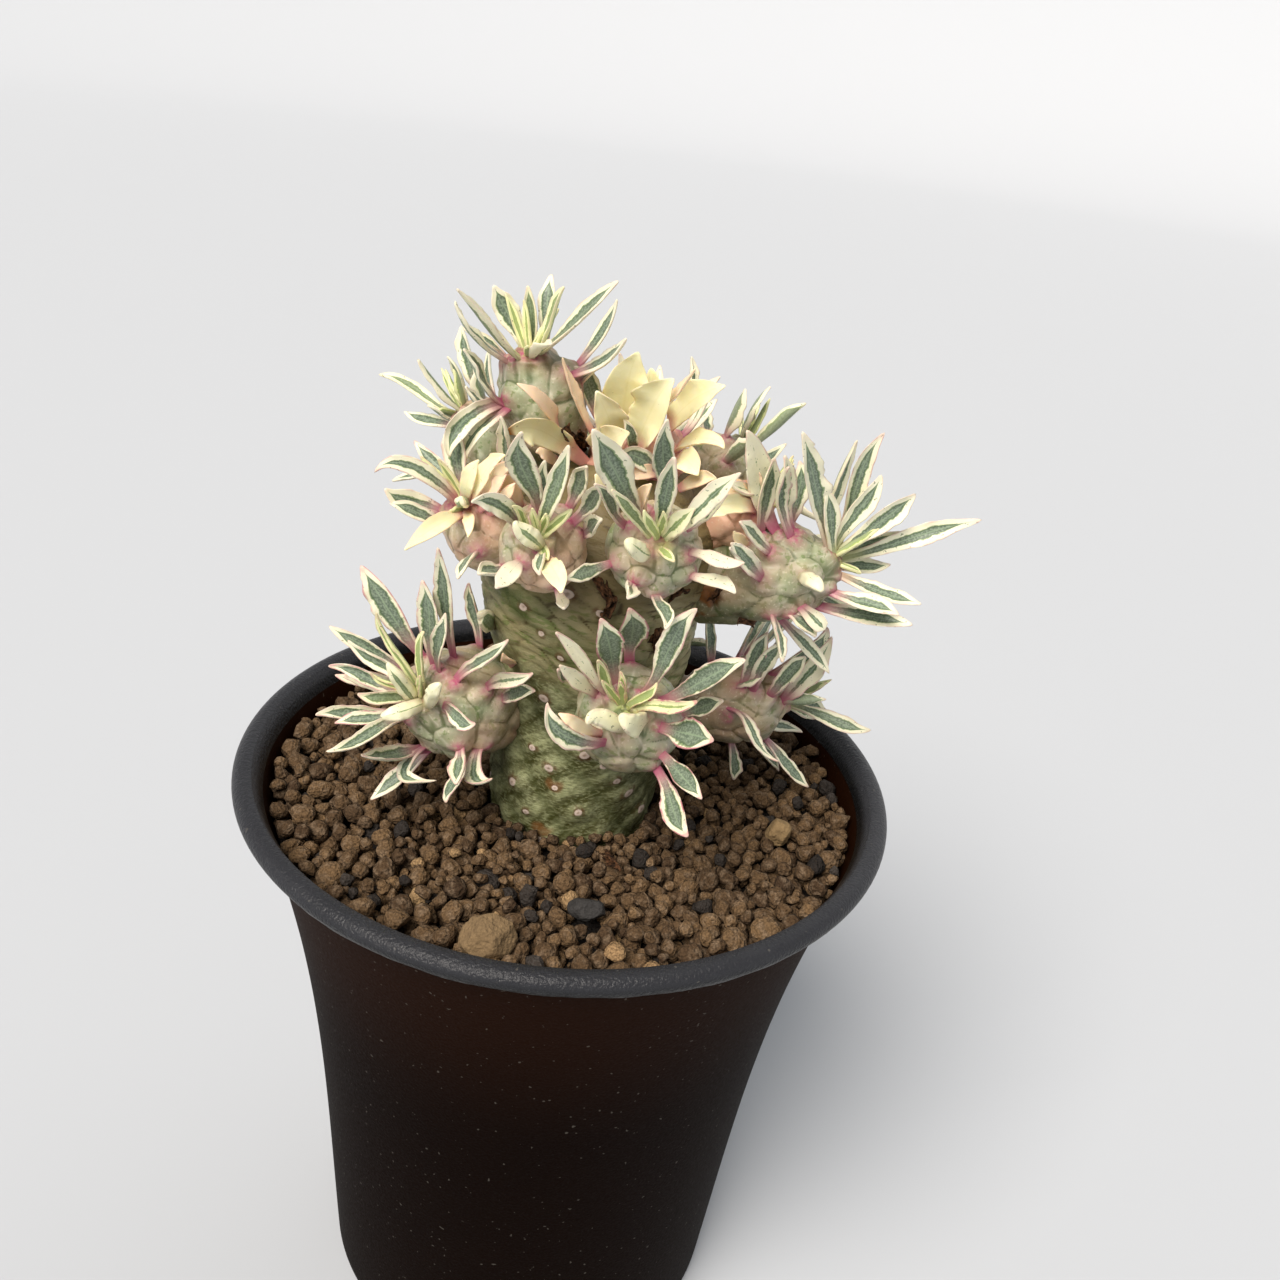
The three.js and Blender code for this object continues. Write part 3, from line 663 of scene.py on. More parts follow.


# The fill of the pot: its wall side, a rough dark top that is painted shade in the gaps between
# grains, and a pocket that the stem stands in.
# Rings go from the pot's axis at the wall to the stem's own middle at the pocket.
def makeBed():
    bottom, top = pot["floor"] + 0.3, grit["bedLevel"]
    side = np.linspace(bottom, top, 24)
    inside = potRadius(side) - pot["wall"] - grit["gap"]
    share = np.linspace(0, 1, 26)[1:]
    mouth = along(stem["outline"], top) + 0.3
    across = inside[-1] + (mouth - inside[-1]) * share
    foot = along(stem["outline"], stem["foot"]) + 0.3
    radius = np.concatenate([[15.0], inside, across, [foot]])
    height = np.concatenate([[bottom], side, 0 * share + top, [87.7]])
    toStem = np.concatenate([[0], 0 * side, share, [1]])
    rings = ringsOf(radius, height, 160)
    middle = stemMiddle(height)
    rings[..., :2] += (middle[:, :2] * toStem[:, None])[:, None]
    onTop = (height == top) & (toStem > 0)
    rings[..., 2] += onTop[:, None] * 0.5 * smoothNoise(rings / 1.7, 4)
    ends = np.array([(0, 0, bottom), (*stemMiddle(np.array([87.7]))[0, :2], 87.7)])
    points = np.concatenate([rings.reshape(-1, 3), ends])
    # The bed takes the dark grains' colour: painted shade in the gaps between grains.
    fields = {"tone": np.zeros(len(points)), "kind": np.ones(len(points))}
    return points, tubeFaces(len(rings), 160), fields


# The bed, and the grains at rest on it as chipped lumps, in two pieces by height.
def makeGrit():
    paint = makeGritPaint()
    points, faces, fields = makeBed()
    addPiece("grit_bed", points, faces, paint, ["soil"], fields)
    draw = np.random.default_rng(17)
    rest = dropGrains(draw)
    print("grains at rest:", len(rest))
    ball, triangles = unitBall(2)
    stretch = rest[:, 3:] * draw.uniform(*grit["stretch"], size=(len(rest), 3))
    lumps = chipBalls(ball, stretch, draw, grit["planes"], grit["chip"])
    lumps *= draw.normal(grit["puff"], grit["rough"], size=lumps.shape[:2])[..., None]
    lumps += rest[:, None, :3]
    tone = draw.beta(grit["tones"], grit["tones"], size=len(rest))
    kind = draw.choice([0.0, 1.0, 2.0], p=grit["kinds"], size=len(rest))
    halves = np.array_split(np.argsort(rest[:, 2]), 2)
    for title, chosen in zip(("grains_under", "grains_top"), halves):
        fields = {
            "tone": np.repeat(tone[chosen], len(ball)),
            "kind": np.repeat(kind[chosen], len(ball)),
        }
        faces = [repeatFaces(triangles, len(chosen), len(ball))]
        addPiece(title, lumps[chosen].reshape(-1, 3), faces, paint, ["soil"], fields)


# Three loose stones: chipped balls, swollen by noise, sized and turned.
def makeStones():
    ball, triangles = unitBall(5)
    for name, stone in stones.items():
        draw = np.random.default_rng(stone["seed"])
        lump = chipBalls(ball, np.ones((1, 3)), draw, 13, (0.7, 0.95))[0]
        lump *= np.array(stone["size"]) * 1.12
        coarse, fine = (smoothNoise(lump / size, seed)[:, None] for size, seed in ((1.1, 6), (0.4, 7)))
        lump *= 1 + 0.05 * coarse + 0.02 * fine
        c, s = np.cos(np.radians(stone["turn"])), np.sin(np.radians(stone["turn"]))
        points = lump @ np.array([(c, -s, 0), (s, c, 0), (0, 0, 1)]).T + np.array(stone["at"])
        paint = makeStonePaint(stone["node"], *stone["colours"], stone["roughness"])
        addPiece(name, points, [triangles], paint, [stone["node"]])


# Stem

# Stem skin: streaky green below with painted light and shade on each wart, bark plates above
# with painted highlights in their middles and painted shade on the stem's top, then dark cracks,
# a painted shadow band under the heads, rust, scar rings and dimples.
def makeStemPaint():
    paint, tree, shader = newPaint(
        "stem_bark", 0.5, Specular_IOR_Level=0.35, Subsurface_Weight=0.06,
        Subsurface_Radius=(0.0012, 0.0009, 0.0005),
    )
    toScar, bark, edge = (field(tree, title) for title in ("scarGap", "bark", "edge"))
    fine, crisp = mottle(tree, 0.9, 4.0), mottle(tree, 0.75, 4.0, (1, 1, 2.3))
    green = coated(
        # Streaks and lens patches of the skin, with painted light and shade on each wart.
        tree, blend(tree, field(tree, "streakAndShade"), "#46451f", "#969a70"),
        ("#a9ad86", rise(tree, fine, 0.5, 0.7), 0.35),
        ("#b0b48a", rise(tree, crisp, 0.52, 0.62), 0.4),
        ("#35361a", rise(tree, crisp, 0.46, 0.36), 0.4),
        ("#3f4720", field(tree, "groove"), 0.45),
    )
    plates = coated(
        tree, blend(tree, patches(tree, 4.0, 3.0, 0.35, 0.65, (1, 1, 1.6)), "#7d7a55", "#a0966e"),
        # Painted highlight: each bark plate is lighter in its middle, like a lit cushion.
        ("#b9b08a", rise(tree, edge, 0.2, 1.0), 0.45),
        ("#5c742c", patches(tree, 2.4, 4.0, 0.53, 0.62, (1, 1, 2.8)), 0.6),
        # Painted shade: the stem's top between the heads is darker brown, where leaves above shade it.
        ("#6f5f3c", field(tree, "crest"), 0.85),
    )
    crack = times(tree, rise(tree, edge, 0.26, 0.04), bark)
    ring = times(tree, rise(tree, toScar, 2.3, 1.2), patches(tree, 1.1, 2.0, 0.32, 0.6))
    dimple = blend(tree, rise(tree, toScar, 0.15, 0.6), "#a38c7a", "#cfbcae")
    body = coated(
        tree, green,
        (plates, bark),
        ("#4d4024", crack, patches(tree, 3.5, 3.0, 0.36, 0.58)),
        ("#44521f", field(tree, "shade")),
        (cloudy(tree, 1.3, 4.0, "#553519", "#8d5c2f"), field(tree, "rust"), 0.7),
        ("#5a3c22", ring, 0.85),
        (dimple, rise(tree, toScar, 1.1, 0.85)),
    )
    relief = plus(tree, mottle(tree, 0.5, 4.0, (1, 1, 2.5)), times(tree, fine, 0.8))
    dress(tree, shader, body, relief, 0.16, 0.8)
    return paint


# Distance over the bark in mm from an angle and a height, up and down counted stretched.
def barkGap(theta, z, radius, angle, level, stretch=1.0):
    turn = (theta - angle + 180) % 360 - 180
    return np.hypot(np.radians(turn) * radius, (z - level) * stretch)


# An angle and a height as two places in the lattice of warts. Ribs turn ribTurn degrees with
# each wartStep mm: the first place counts ribs round the stem, the second adds the steps climbed.
def wartPlace(angle, level):
    firstAngle, firstLevel = stem["firstWart"]
    step = stem["wartStep"]
    shift = 360 / stem["ribs"] - stem["ribTurn"]
    rib = (angle - firstAngle - shift * (level - firstLevel) / step) * stem["ribs"] / 360
    return rib, rib + (level - firstLevel) / step


# The lattice over the whole stem, pulled so that each listed scar sits on a wart, by weights
# that fall off as a bell over 5 mm, and loosened by noise where no scar is near.
def wartLattice(theta, z, radius, wander):
    a, b = wartPlace(theta, z)
    pullA = pullB = total = 0
    for angle, level in stem["scars"]:
        scarA, scarB = wartPlace(angle, level)
        weight = np.exp(-((barkGap(theta, z, radius, angle, level) / 5) ** 2))
        pullA = pullA + weight * (scarA - round(scarA))
        pullB = pullB + weight * (scarB - round(scarB))
        total = total + weight
    away = ease(total, 0.9, 0.1)
    a = a - pullA / (total + 0.15) + 0.24 * wander * away
    b = b - pullB / (total + 0.15) + 0.26 * wander * away
    return a, b


# Distance to the nearest leaf scar in sizes of that scar, and the cushion with its dip that all
# scars raise on the bark.
def scarRelief(theta, z, radius, flat):
    heights = np.repeat(np.arange(*stem["backScars"]), 3)
    backs = [(-12 + (k * 137.5) % 212, level) for k, level in enumerate(heights)]
    toScar, lift = np.full_like(z, 3.0), 0
    uneven = 1 + 0.22 * smoothNoise(flat / 0.8, 12)
    least, more = stem["scarSize"]
    for i, (angle, level) in enumerate(list(stem["scars"]) + backs):
        size = least + more * hashDraw(np.array([float(i), 0.0, 0.0]), 3)
        gap = barkGap(theta, z, radius, angle, level, 1.15) / size * uneven
        toScar = np.minimum(toScar, gap)
        lift = lift + stem["scarRise"] * np.exp(-((gap / 1.4) ** 2))
        lift = lift - stem["scarDip"] * np.exp(-((gap / 0.5) ** 2))
    return toScar, lift


# The stem: rings of the outline's radius round its wandering middle. Spiral ribs of warts rise
# low down and flat bark plates higher up; each leaf scar is a small raised cushion with a dip.
def makeStem():
    cols, foot, ground, top = (stem[key] for key in ("columns", "foot", "ground", "top"))
    height = np.concatenate([np.linspace(foot, ground, 7), np.linspace(ground, top, stem["rows"])[1:]])
    z, theta = np.meshgrid(height, np.arange(cols) * 360 / cols - 180, indexing="ij")
    c, s = np.cos(np.radians(theta)), np.sin(np.radians(theta))
    radius = along(stem["outline"], z)
    flat = np.stack([c * radius, s * radius, z], -1)
    wander = smoothNoise(flat / 5, 2)
    a, b = wartLattice(theta, z, radius, wander)
    cellA, cellB = a - np.round(a), b - np.round(b)
    gapA, gapB = 0.5 - np.abs(cellA), 0.5 - np.abs(cellB)
    wart = ease(gapB, 0, 0.42) * (0.6 + 0.4 * ease(gapA, 0, 0.45))
    fromFront = theta + 100
    bark = z + 5 * smoothNoise(flat / 7, 5) + 0.05 * fromFront * (np.abs(fromFront) < 80)
    bark = ease(bark, *stem["barkFrom"])
    plateWide, plateHigh = stem["plate"]
    plates = round(2 * np.pi * 15 / plateWide)
    sway = 0.7 * smoothNoise(flat / 8, 8) + 0.25 * smoothNoise(flat / 2.5, 18)
    slant = 2.6 * np.sin(np.radians(fromFront))
    spots = np.stack([(theta + 180) / 360 * plates, z / plateHigh + sway + slant], -1)
    edge = cellEdge(spots, plates, 11)
    toScar, scarLift = scarRelief(theta, z, radius, flat)
    lift = stem["wartRelief"] * (wart - 0.5) * (1 - 0.55 * bark)
    lift += stem["plateRelief"] * (ease(edge, 0, 0.35) - 0.5) * (0.15 + 0.85 * bark)
    lift += stem["grain"] * smoothNoise(flat / 2.2, 9) + stem["lumps"] * smoothNoise(flat / 8, 10)
    lift += scarLift
    rust = np.zeros_like(z)
    for angle, level, size in stem["rust"]:
        gap = barkGap(theta, z, radius, angle, level, 1.6) / size
        rust = np.maximum(rust, 1 - ease(gap + 0.35 * smoothNoise(flat / 1.1, 14), 0.35, 0.8))
    band = 141 - 0.17 * (theta + 140)
    inFront = ease(theta, -175, -150) * (1 - ease(theta, -45, -20))
    shade = 0.85 * np.exp(-(((z - band) / 3.6) ** 2)) * inFront
    shade *= ease(smoothNoise(flat / np.array((2.6, 2.6, 1.3)), 15), -0.5, 0.4)
    # The light lens patch on each wart is set off its middle, so one side is lighter and the other
    # darker: painted light and shade, over fibre streaks that are the skin's own.
    shifted = cellB - 0.18 - np.round(cellB - 0.18)
    patch = 1 - ease(np.hypot(cellA / 0.44, shifted / 0.62), 0.3, 1.0)
    fibre = smoothNoise(np.stack([a * 11, b * 3], -1), 16)
    fibre += smoothNoise(np.stack([a * 5, b * 2], -1) + 7.3, 17)
    streakAndShade = np.clip(0.12 + 0.6 * patch + 0.34 * fibre + 0.2 * smoothNoise(flat / 5, 19), 0, 1)
    points = stemMiddle(z) + np.stack([c, s, 0 * z], -1) * (radius + lift * ease(z, 94, 99))[..., None]
    ends = np.array([stemMiddle(np.array(foot)), stemMiddle(np.array(top)) + (0, 0, 2)])
    points = np.concatenate([points.reshape(-1, 3), ends])
    groove = np.maximum(1 - ease(gapB, 0.0, 0.22), 0.6 * (1 - ease(gapA, 0.0, 0.2))) * (1 - 0.7 * bark)
    # Shade is a painted shadow band under the front heads, crest painted shade on the stem's top.
    fields = {
        "streakAndShade": streakAndShade, "groove": groove, "bark": bark, "scarGap": toScar, "rust": rust,
        "edge": np.clip(edge / 0.55, 0, 1), "shade": shade, "crest": ease(z + 2 * wander, 138, 144),
    }
    fields = {title: np.append(values.ravel(), (0, 0)) for title, values in fields.items()}
    faces = tubeFaces(len(height), cols)
    addPiece("stem_skin", points, faces, makeStemPaint(), ["stem"], fields)


# Heads

# Root and tip are the two ends of a shoot in mm and girth is its greatest radius. Rear leaves
# spread from one clock angle to another, so many of them. Look is the green share of a blade,
# how pink its margin is, how far the skin turns salmon, and how broad the blades are near their
# points (0 straps to 1 spoons). A leaf is its clock angle, the tier it springs from (0 root,
# 1 tip), how far its point lies out from and along the line, and its width. Pale leaves have no
# green. The aged tier is how far old, dark skin reaches up; on the right arm it is raised so that
# this dark skin also stands for painted shade under the leaves above. Front is how strongly broad
# leaves turn to the camera, cork lists middles and sizes of cork patches, and skip numbers rear
# leaves left out.
heads = {
    "head_left_low": {
        "root": (-10.5, -1, 115.2), "tip": (-22.7, -16, 123.6), "girth": 8.2, "rear": (-170, -70, 3),
        "agedAndShade": 0.75, "look": (0.66, 0.7, 0.15, 0.3),
        "leaves": [
            (-22, 0.82, 19, 29.5, 3.5), (-5, 0.95, 11.5, 31, 1.9), (15, 0.85, 17.5, 29, 3.7),
            (21, 0.8, 23, 31, 3.2), (30, 0.85, 15, 26.5, 2.2), (25, 0.95, 11, 27, 1.9),
            (-55, 0.85, 14.5, 29, 2.7), (-52, 0.92, 11, 28, 2.6), (-78, 0.88, 12, 28, 2.6),
            (-95, 0.95, 4, 29, 2.5), (-86, 0.7, 13.5, 23, 3.2), (-112, 0.82, 12.5, 29, 2.6),
            (-155, 0.88, 9.5, 33, 2.7), (-165, 0.7, 9, 28, 3.2), (165, 0.55, 15, 15.5, 2.8),
            (140, 0.75, 14, 20, 3), (95, 0.86, 14, 24, 2.6), (57, 0.84, 20, 23.5, 2.4),
            (70, 0.7, 20, 19.5, 2.8), (76, 0.56, 17.5, 16, 2.4), (5, 0.5, 18, 16, 2.4),
        ],
    },
    "head_front_low": {
        "root": (9.3, -9, 118.6), "tip": (6.9, -25, 130.4), "girth": 7.6, "rear": (0, 0, 0),
        "look": (0.84, 0.85, 0.12, 0.95),
        "paleLeaves": [
            (-50, 0.88, 12, 32, 2.1), (-65, 0.85, 9.5, 28.5, 2.3),
        ],
        "leaves": [
            (-35, 0.95, 6.5, 28, 1.8), (-20, 0.88, 11, 31.5, 3.9), (-3, 0.72, 13, 27, 4.2),
            (-10, 0.97, 4.5, 26.5, 1.4), (35, 0.88, 15, 35, 3), (65, 0.85, 17, 31, 3.5),
            (82, 0.95, 10, 29.5, 2.2), (78, 0.66, 13.5, 21.5, 2.8), (105, 0.84, 13, 28.5, 4.2),
            (132, 0.72, 16, 23.5, 3.3), (146, 0.6, 19, 22.5, 3.3), (-66, 0.6, 10.5, 22.5, 2.1),
        ],
    },
    "head_right_low": {
        "root": (18.2, 2, 117.1), "tip": (34.2, 4.5, 118.9), "girth": 6.6, "rear": (45, 160, 6),
        "front": 1.8, "agedAndShade": 0.9, "look": (0.66, 0.65, 0.2, 0.45),
        "leaves": [
            (5, 0.28, 15, 4, 2.6), (-62, 0.45, 11, 10.5, 2.6), (28, 0.55, 16.5, 15.5, 2.5),
            (14, 0.62, 15.5, 16.5, 2.4), (-35, 0.7, 12.5, 13.5, 2.6), (-2, 0.75, 15, 18.5, 2.4),
            (-38, 0.8, 15.5, 21, 3.8), (-62, 0.95, 6, 22, 2.2), (-85, 0.85, 9.5, 20.5, 2.2),
            (135, 0.95, 5, 24.5, 4), (-145, 0.93, 7, 29.5, 2.6), (178, 0.75, 15.5, 20, 2.6),
            (165, 0.45, 14.5, 8, 2.6),
        ],
    },
    "head_right_arm": {
        "root": (15.4, -3, 139.6), "tip": (35.1, -8.5, 149.2), "girth": 6.7, "rear": (60, 165, 4),
        "front": 2.2, "cork": [((15, -11, 137.5), 4.5), ((17, -10, 142), 3), ((24, -9, 138.5), 2.5)],
        # Painted shade: the dark old skin is raised high up this arm, under the leaves above.
        "agedAndShade": 0.95, "look": (0.54, 0.45, 0.08, 0.4),
        "paleLeaves": [
            (-40, 0.72, 24, 17, 3.8),
        ],
        "leaves": [
            (-43, 0.6, 19.5, 19.5, 3.4), (-38, 0.8, 18.5, 20.5, 3.2), (-54, 0.8, 20.5, 22, 2.9),
            (-45, 0.9, 23, 24.5, 4.1), (-11, 0.75, 15, 20.5, 3.2), (-40, 0.95, 12, 24.5, 3),
            (-30, 0.93, 17, 30, 2.6), (-12, 0.93, 16, 33, 3.2), (0, 0.93, 10.5, 31, 3.2),
            (35, 0.95, 9, 34.5, 3.5), (70, 0.9, 8, 31, 2.5), (77, 0.95, 9, 42.5, 3.2),
            (172, 0.9, 8.5, 33, 2.5), (-172, 0.85, 9.5, 30, 3), (165, 0.78, 11.5, 31, 3),
            (-160, 0.65, 11, 18.5, 3.1), (-68, 0.66, 17.5, 14, 2.8), (-78, 0.5, 16.5, 12, 2.6),
            (-150, 0.55, 15, 14, 2.2),
        ],
    },
    "head_front_high": {
        "root": (8, -13, 148.5), "tip": (8.5, -26, 155.8), "girth": 6.2, "rear": (0, 0, 0),
        "look": (0.76, 0.35, 0.15, 0.85),
        "paleLeaves": [
            (103, 0.84, 10, 23, 1.9), (122, 0.74, 11, 20.5, 1.9),
        ],
        "leaves": [
            (-45, 0.88, 14.5, 29.5, 4.2), (-62, 0.84, 10.5, 24, 2.4), (-57, 0.93, 8.5, 23.5, 1.9),
            (-7, 0.85, 13, 27.5, 3.1), (-3, 0.95, 8.5, 28, 3.2), (45, 0.92, 10.5, 28.5, 2.4),
            (50, 0.85, 9, 23, 2.3), (40, 0.95, 5, 22, 2.4), (-118, 0.75, 13, 18.5, 2),
            (-155, 0.8, 8.5, 18.5, 2.8), (172, 0.66, 11, 17.5, 2.4),
        ],
    },
    "head_left_mid": {
        "root": (-5.8, -13, 146.9), "tip": (-6.7, -26, 154.3), "girth": 5.6, "rear": (0, 0, 0),
        "look": (0.62, 0.4, 0.35, 0.75),
        "paleLeaves": [
            (-150, 0.85, 8, 20, 2.5), (152, 0.7, 9.5, 19, 1.8),
        ],
        "leaves": [
            (-10, 0.86, 11, 28, 3.6), (20, 0.93, 10.5, 28, 2.5), (3, 0.84, 9, 22, 2),
            (28, 0.66, 11, 17, 2.8), (50, 0.82, 10, 23, 2.9), (68, 0.74, 8.5, 18, 2.9),
            (-127, 0.72, 8.5, 16.5, 3), (165, 0.9, 5, 21, 1.8), (20, 0.97, 3, 20, 1.4),
        ],
    },
    "head_left_high": {
        "root": (-10.1, -7, 144.8), "tip": (-18.1, -14, 153.6), "girth": 6.2, "rear": (-75, -40, 1),
        "look": (0.6, 0.5, 0.5, 0.5),
        "leaves": [
            (-60, 0.88, 7.5, 18.5, 2.4), (-98, 0.8, 9.5, 19, 3.4), (-107, 0.7, 9.5, 17.5, 2.4),
            (-12, 0.88, 9.5, 19.5, 3.4), (39, 0.8, 12.5, 20.5, 2.8), (150, 0.72, 13, 15, 2),
        ],
    },
    "head_top": {
        "root": (-6.6, 2, 157), "tip": (-11.3, -3, 172.2), "girth": 6, "rear": (-45, 60, 3),
        "look": (0.62, 0.25, 0.08, 0.35),
        "leaves": [
            (-158, 0.93, 8, 30.5, 2.6), (-55, 0.95, 5.5, 25, 3.5), (-5, 0.93, 5, 24, 2.3),
            (70, 0.95, 7, 25.5, 2.3), (88, 0.93, 15.5, 27.5, 2.6), (92, 0.8, 15.5, 20, 2.8),
            (-155, 0.72, 9.5, 22.5, 3), (-135, 0.88, 7.5, 27.5, 2.3), (-105, 0.85, 8, 21.5, 2.2),
            (120, 0.92, 7, 20.5, 2.6), (76, 0.66, 11.5, 15.5, 2.6), (-130, 0.5, 9.5, 15, 2.6),
        ],
    },
    "head_left_rear": {
        "root": (-12.3, 8.5, 151.5), "tip": (-21.8, 11, 158.5), "girth": 5.5, "rear": (-175, -60, 4),
        "look": (0.6, 0.15, 0.1, 0.4),
        "leaves": [
            (-125, 0.93, 8, 26, 2.2), (80, 0.93, 6.5, 21, 2.9), (132, 0.9, 4, 16, 2.8),
            (24, 0.93, 5, 19, 2.5), (0, 0.85, 9.5, 21, 3.2), (45, 0.8, 8.5, 14, 2.4),
            (-26, 0.75, 12, 16.5, 2.4),
        ],
    },
    "crown": {
        "root": (5.7, 1, 151.3), "tip": (4.8, 0, 163), "girth": 7.2, "rear": (-70, 75, 5),
        "look": (0.2, 0.35, 0.95, 0.4),
    },
    "head_right_rear": {
        "root": (15, 8, 150.6), "tip": (21.9, 12.5, 158), "girth": 5.5, "rear": (80, 220, 4),
        "look": (0.6, 0.2, 0.1, 0.4),
        "leaves": [
            (-49, 0.75, 11.5, 14.5, 3.4), (-52, 0.93, 7.5, 18.5, 3.1), (-100, 0.93, 6, 21, 2.4),
            (10, 0.65, 15.5, 15, 2.9), (-78, 0.5, 12, 9, 3.1), (26, 0.75, 9.5, 11.5, 3.1),
        ],
    },
    "head_scarred": {
        "root": (17.4, -2.5, 149.4), "tip": (24.2, -4.5, 155.6), "girth": 4.4, "rear": (0, 0, 0),
        "cork": [((17.5, -8, 149), 2.5), ((21, -7, 154.5), 1.6)], "look": (0.12, 0.4, 0.95, 0.4),
        "leaves": [
            (-30, 0.85, 8, 13, 2.1), (-82, 0.85, 11.5, 9.5, 2.4),
        ],
    },
    "head_rear_high": {
        "root": (0.5, 11, 143), "tip": (-1, 24.5, 152), "girth": 5.8, "rear": (35, 325, 9), "front": 0,
        "look": (0.62, 0.35, 0.2, 0.4),
    },
    "head_rear_low": {
        "root": (7, 9, 121.5), "tip": (10, 22.5, 126.5), "girth": 5.8, "rear": (-150, 210, 9),
        "front": 0, "look": (0.64, 0.5, 0.25, 0.4), "skip": [3],
    },
}

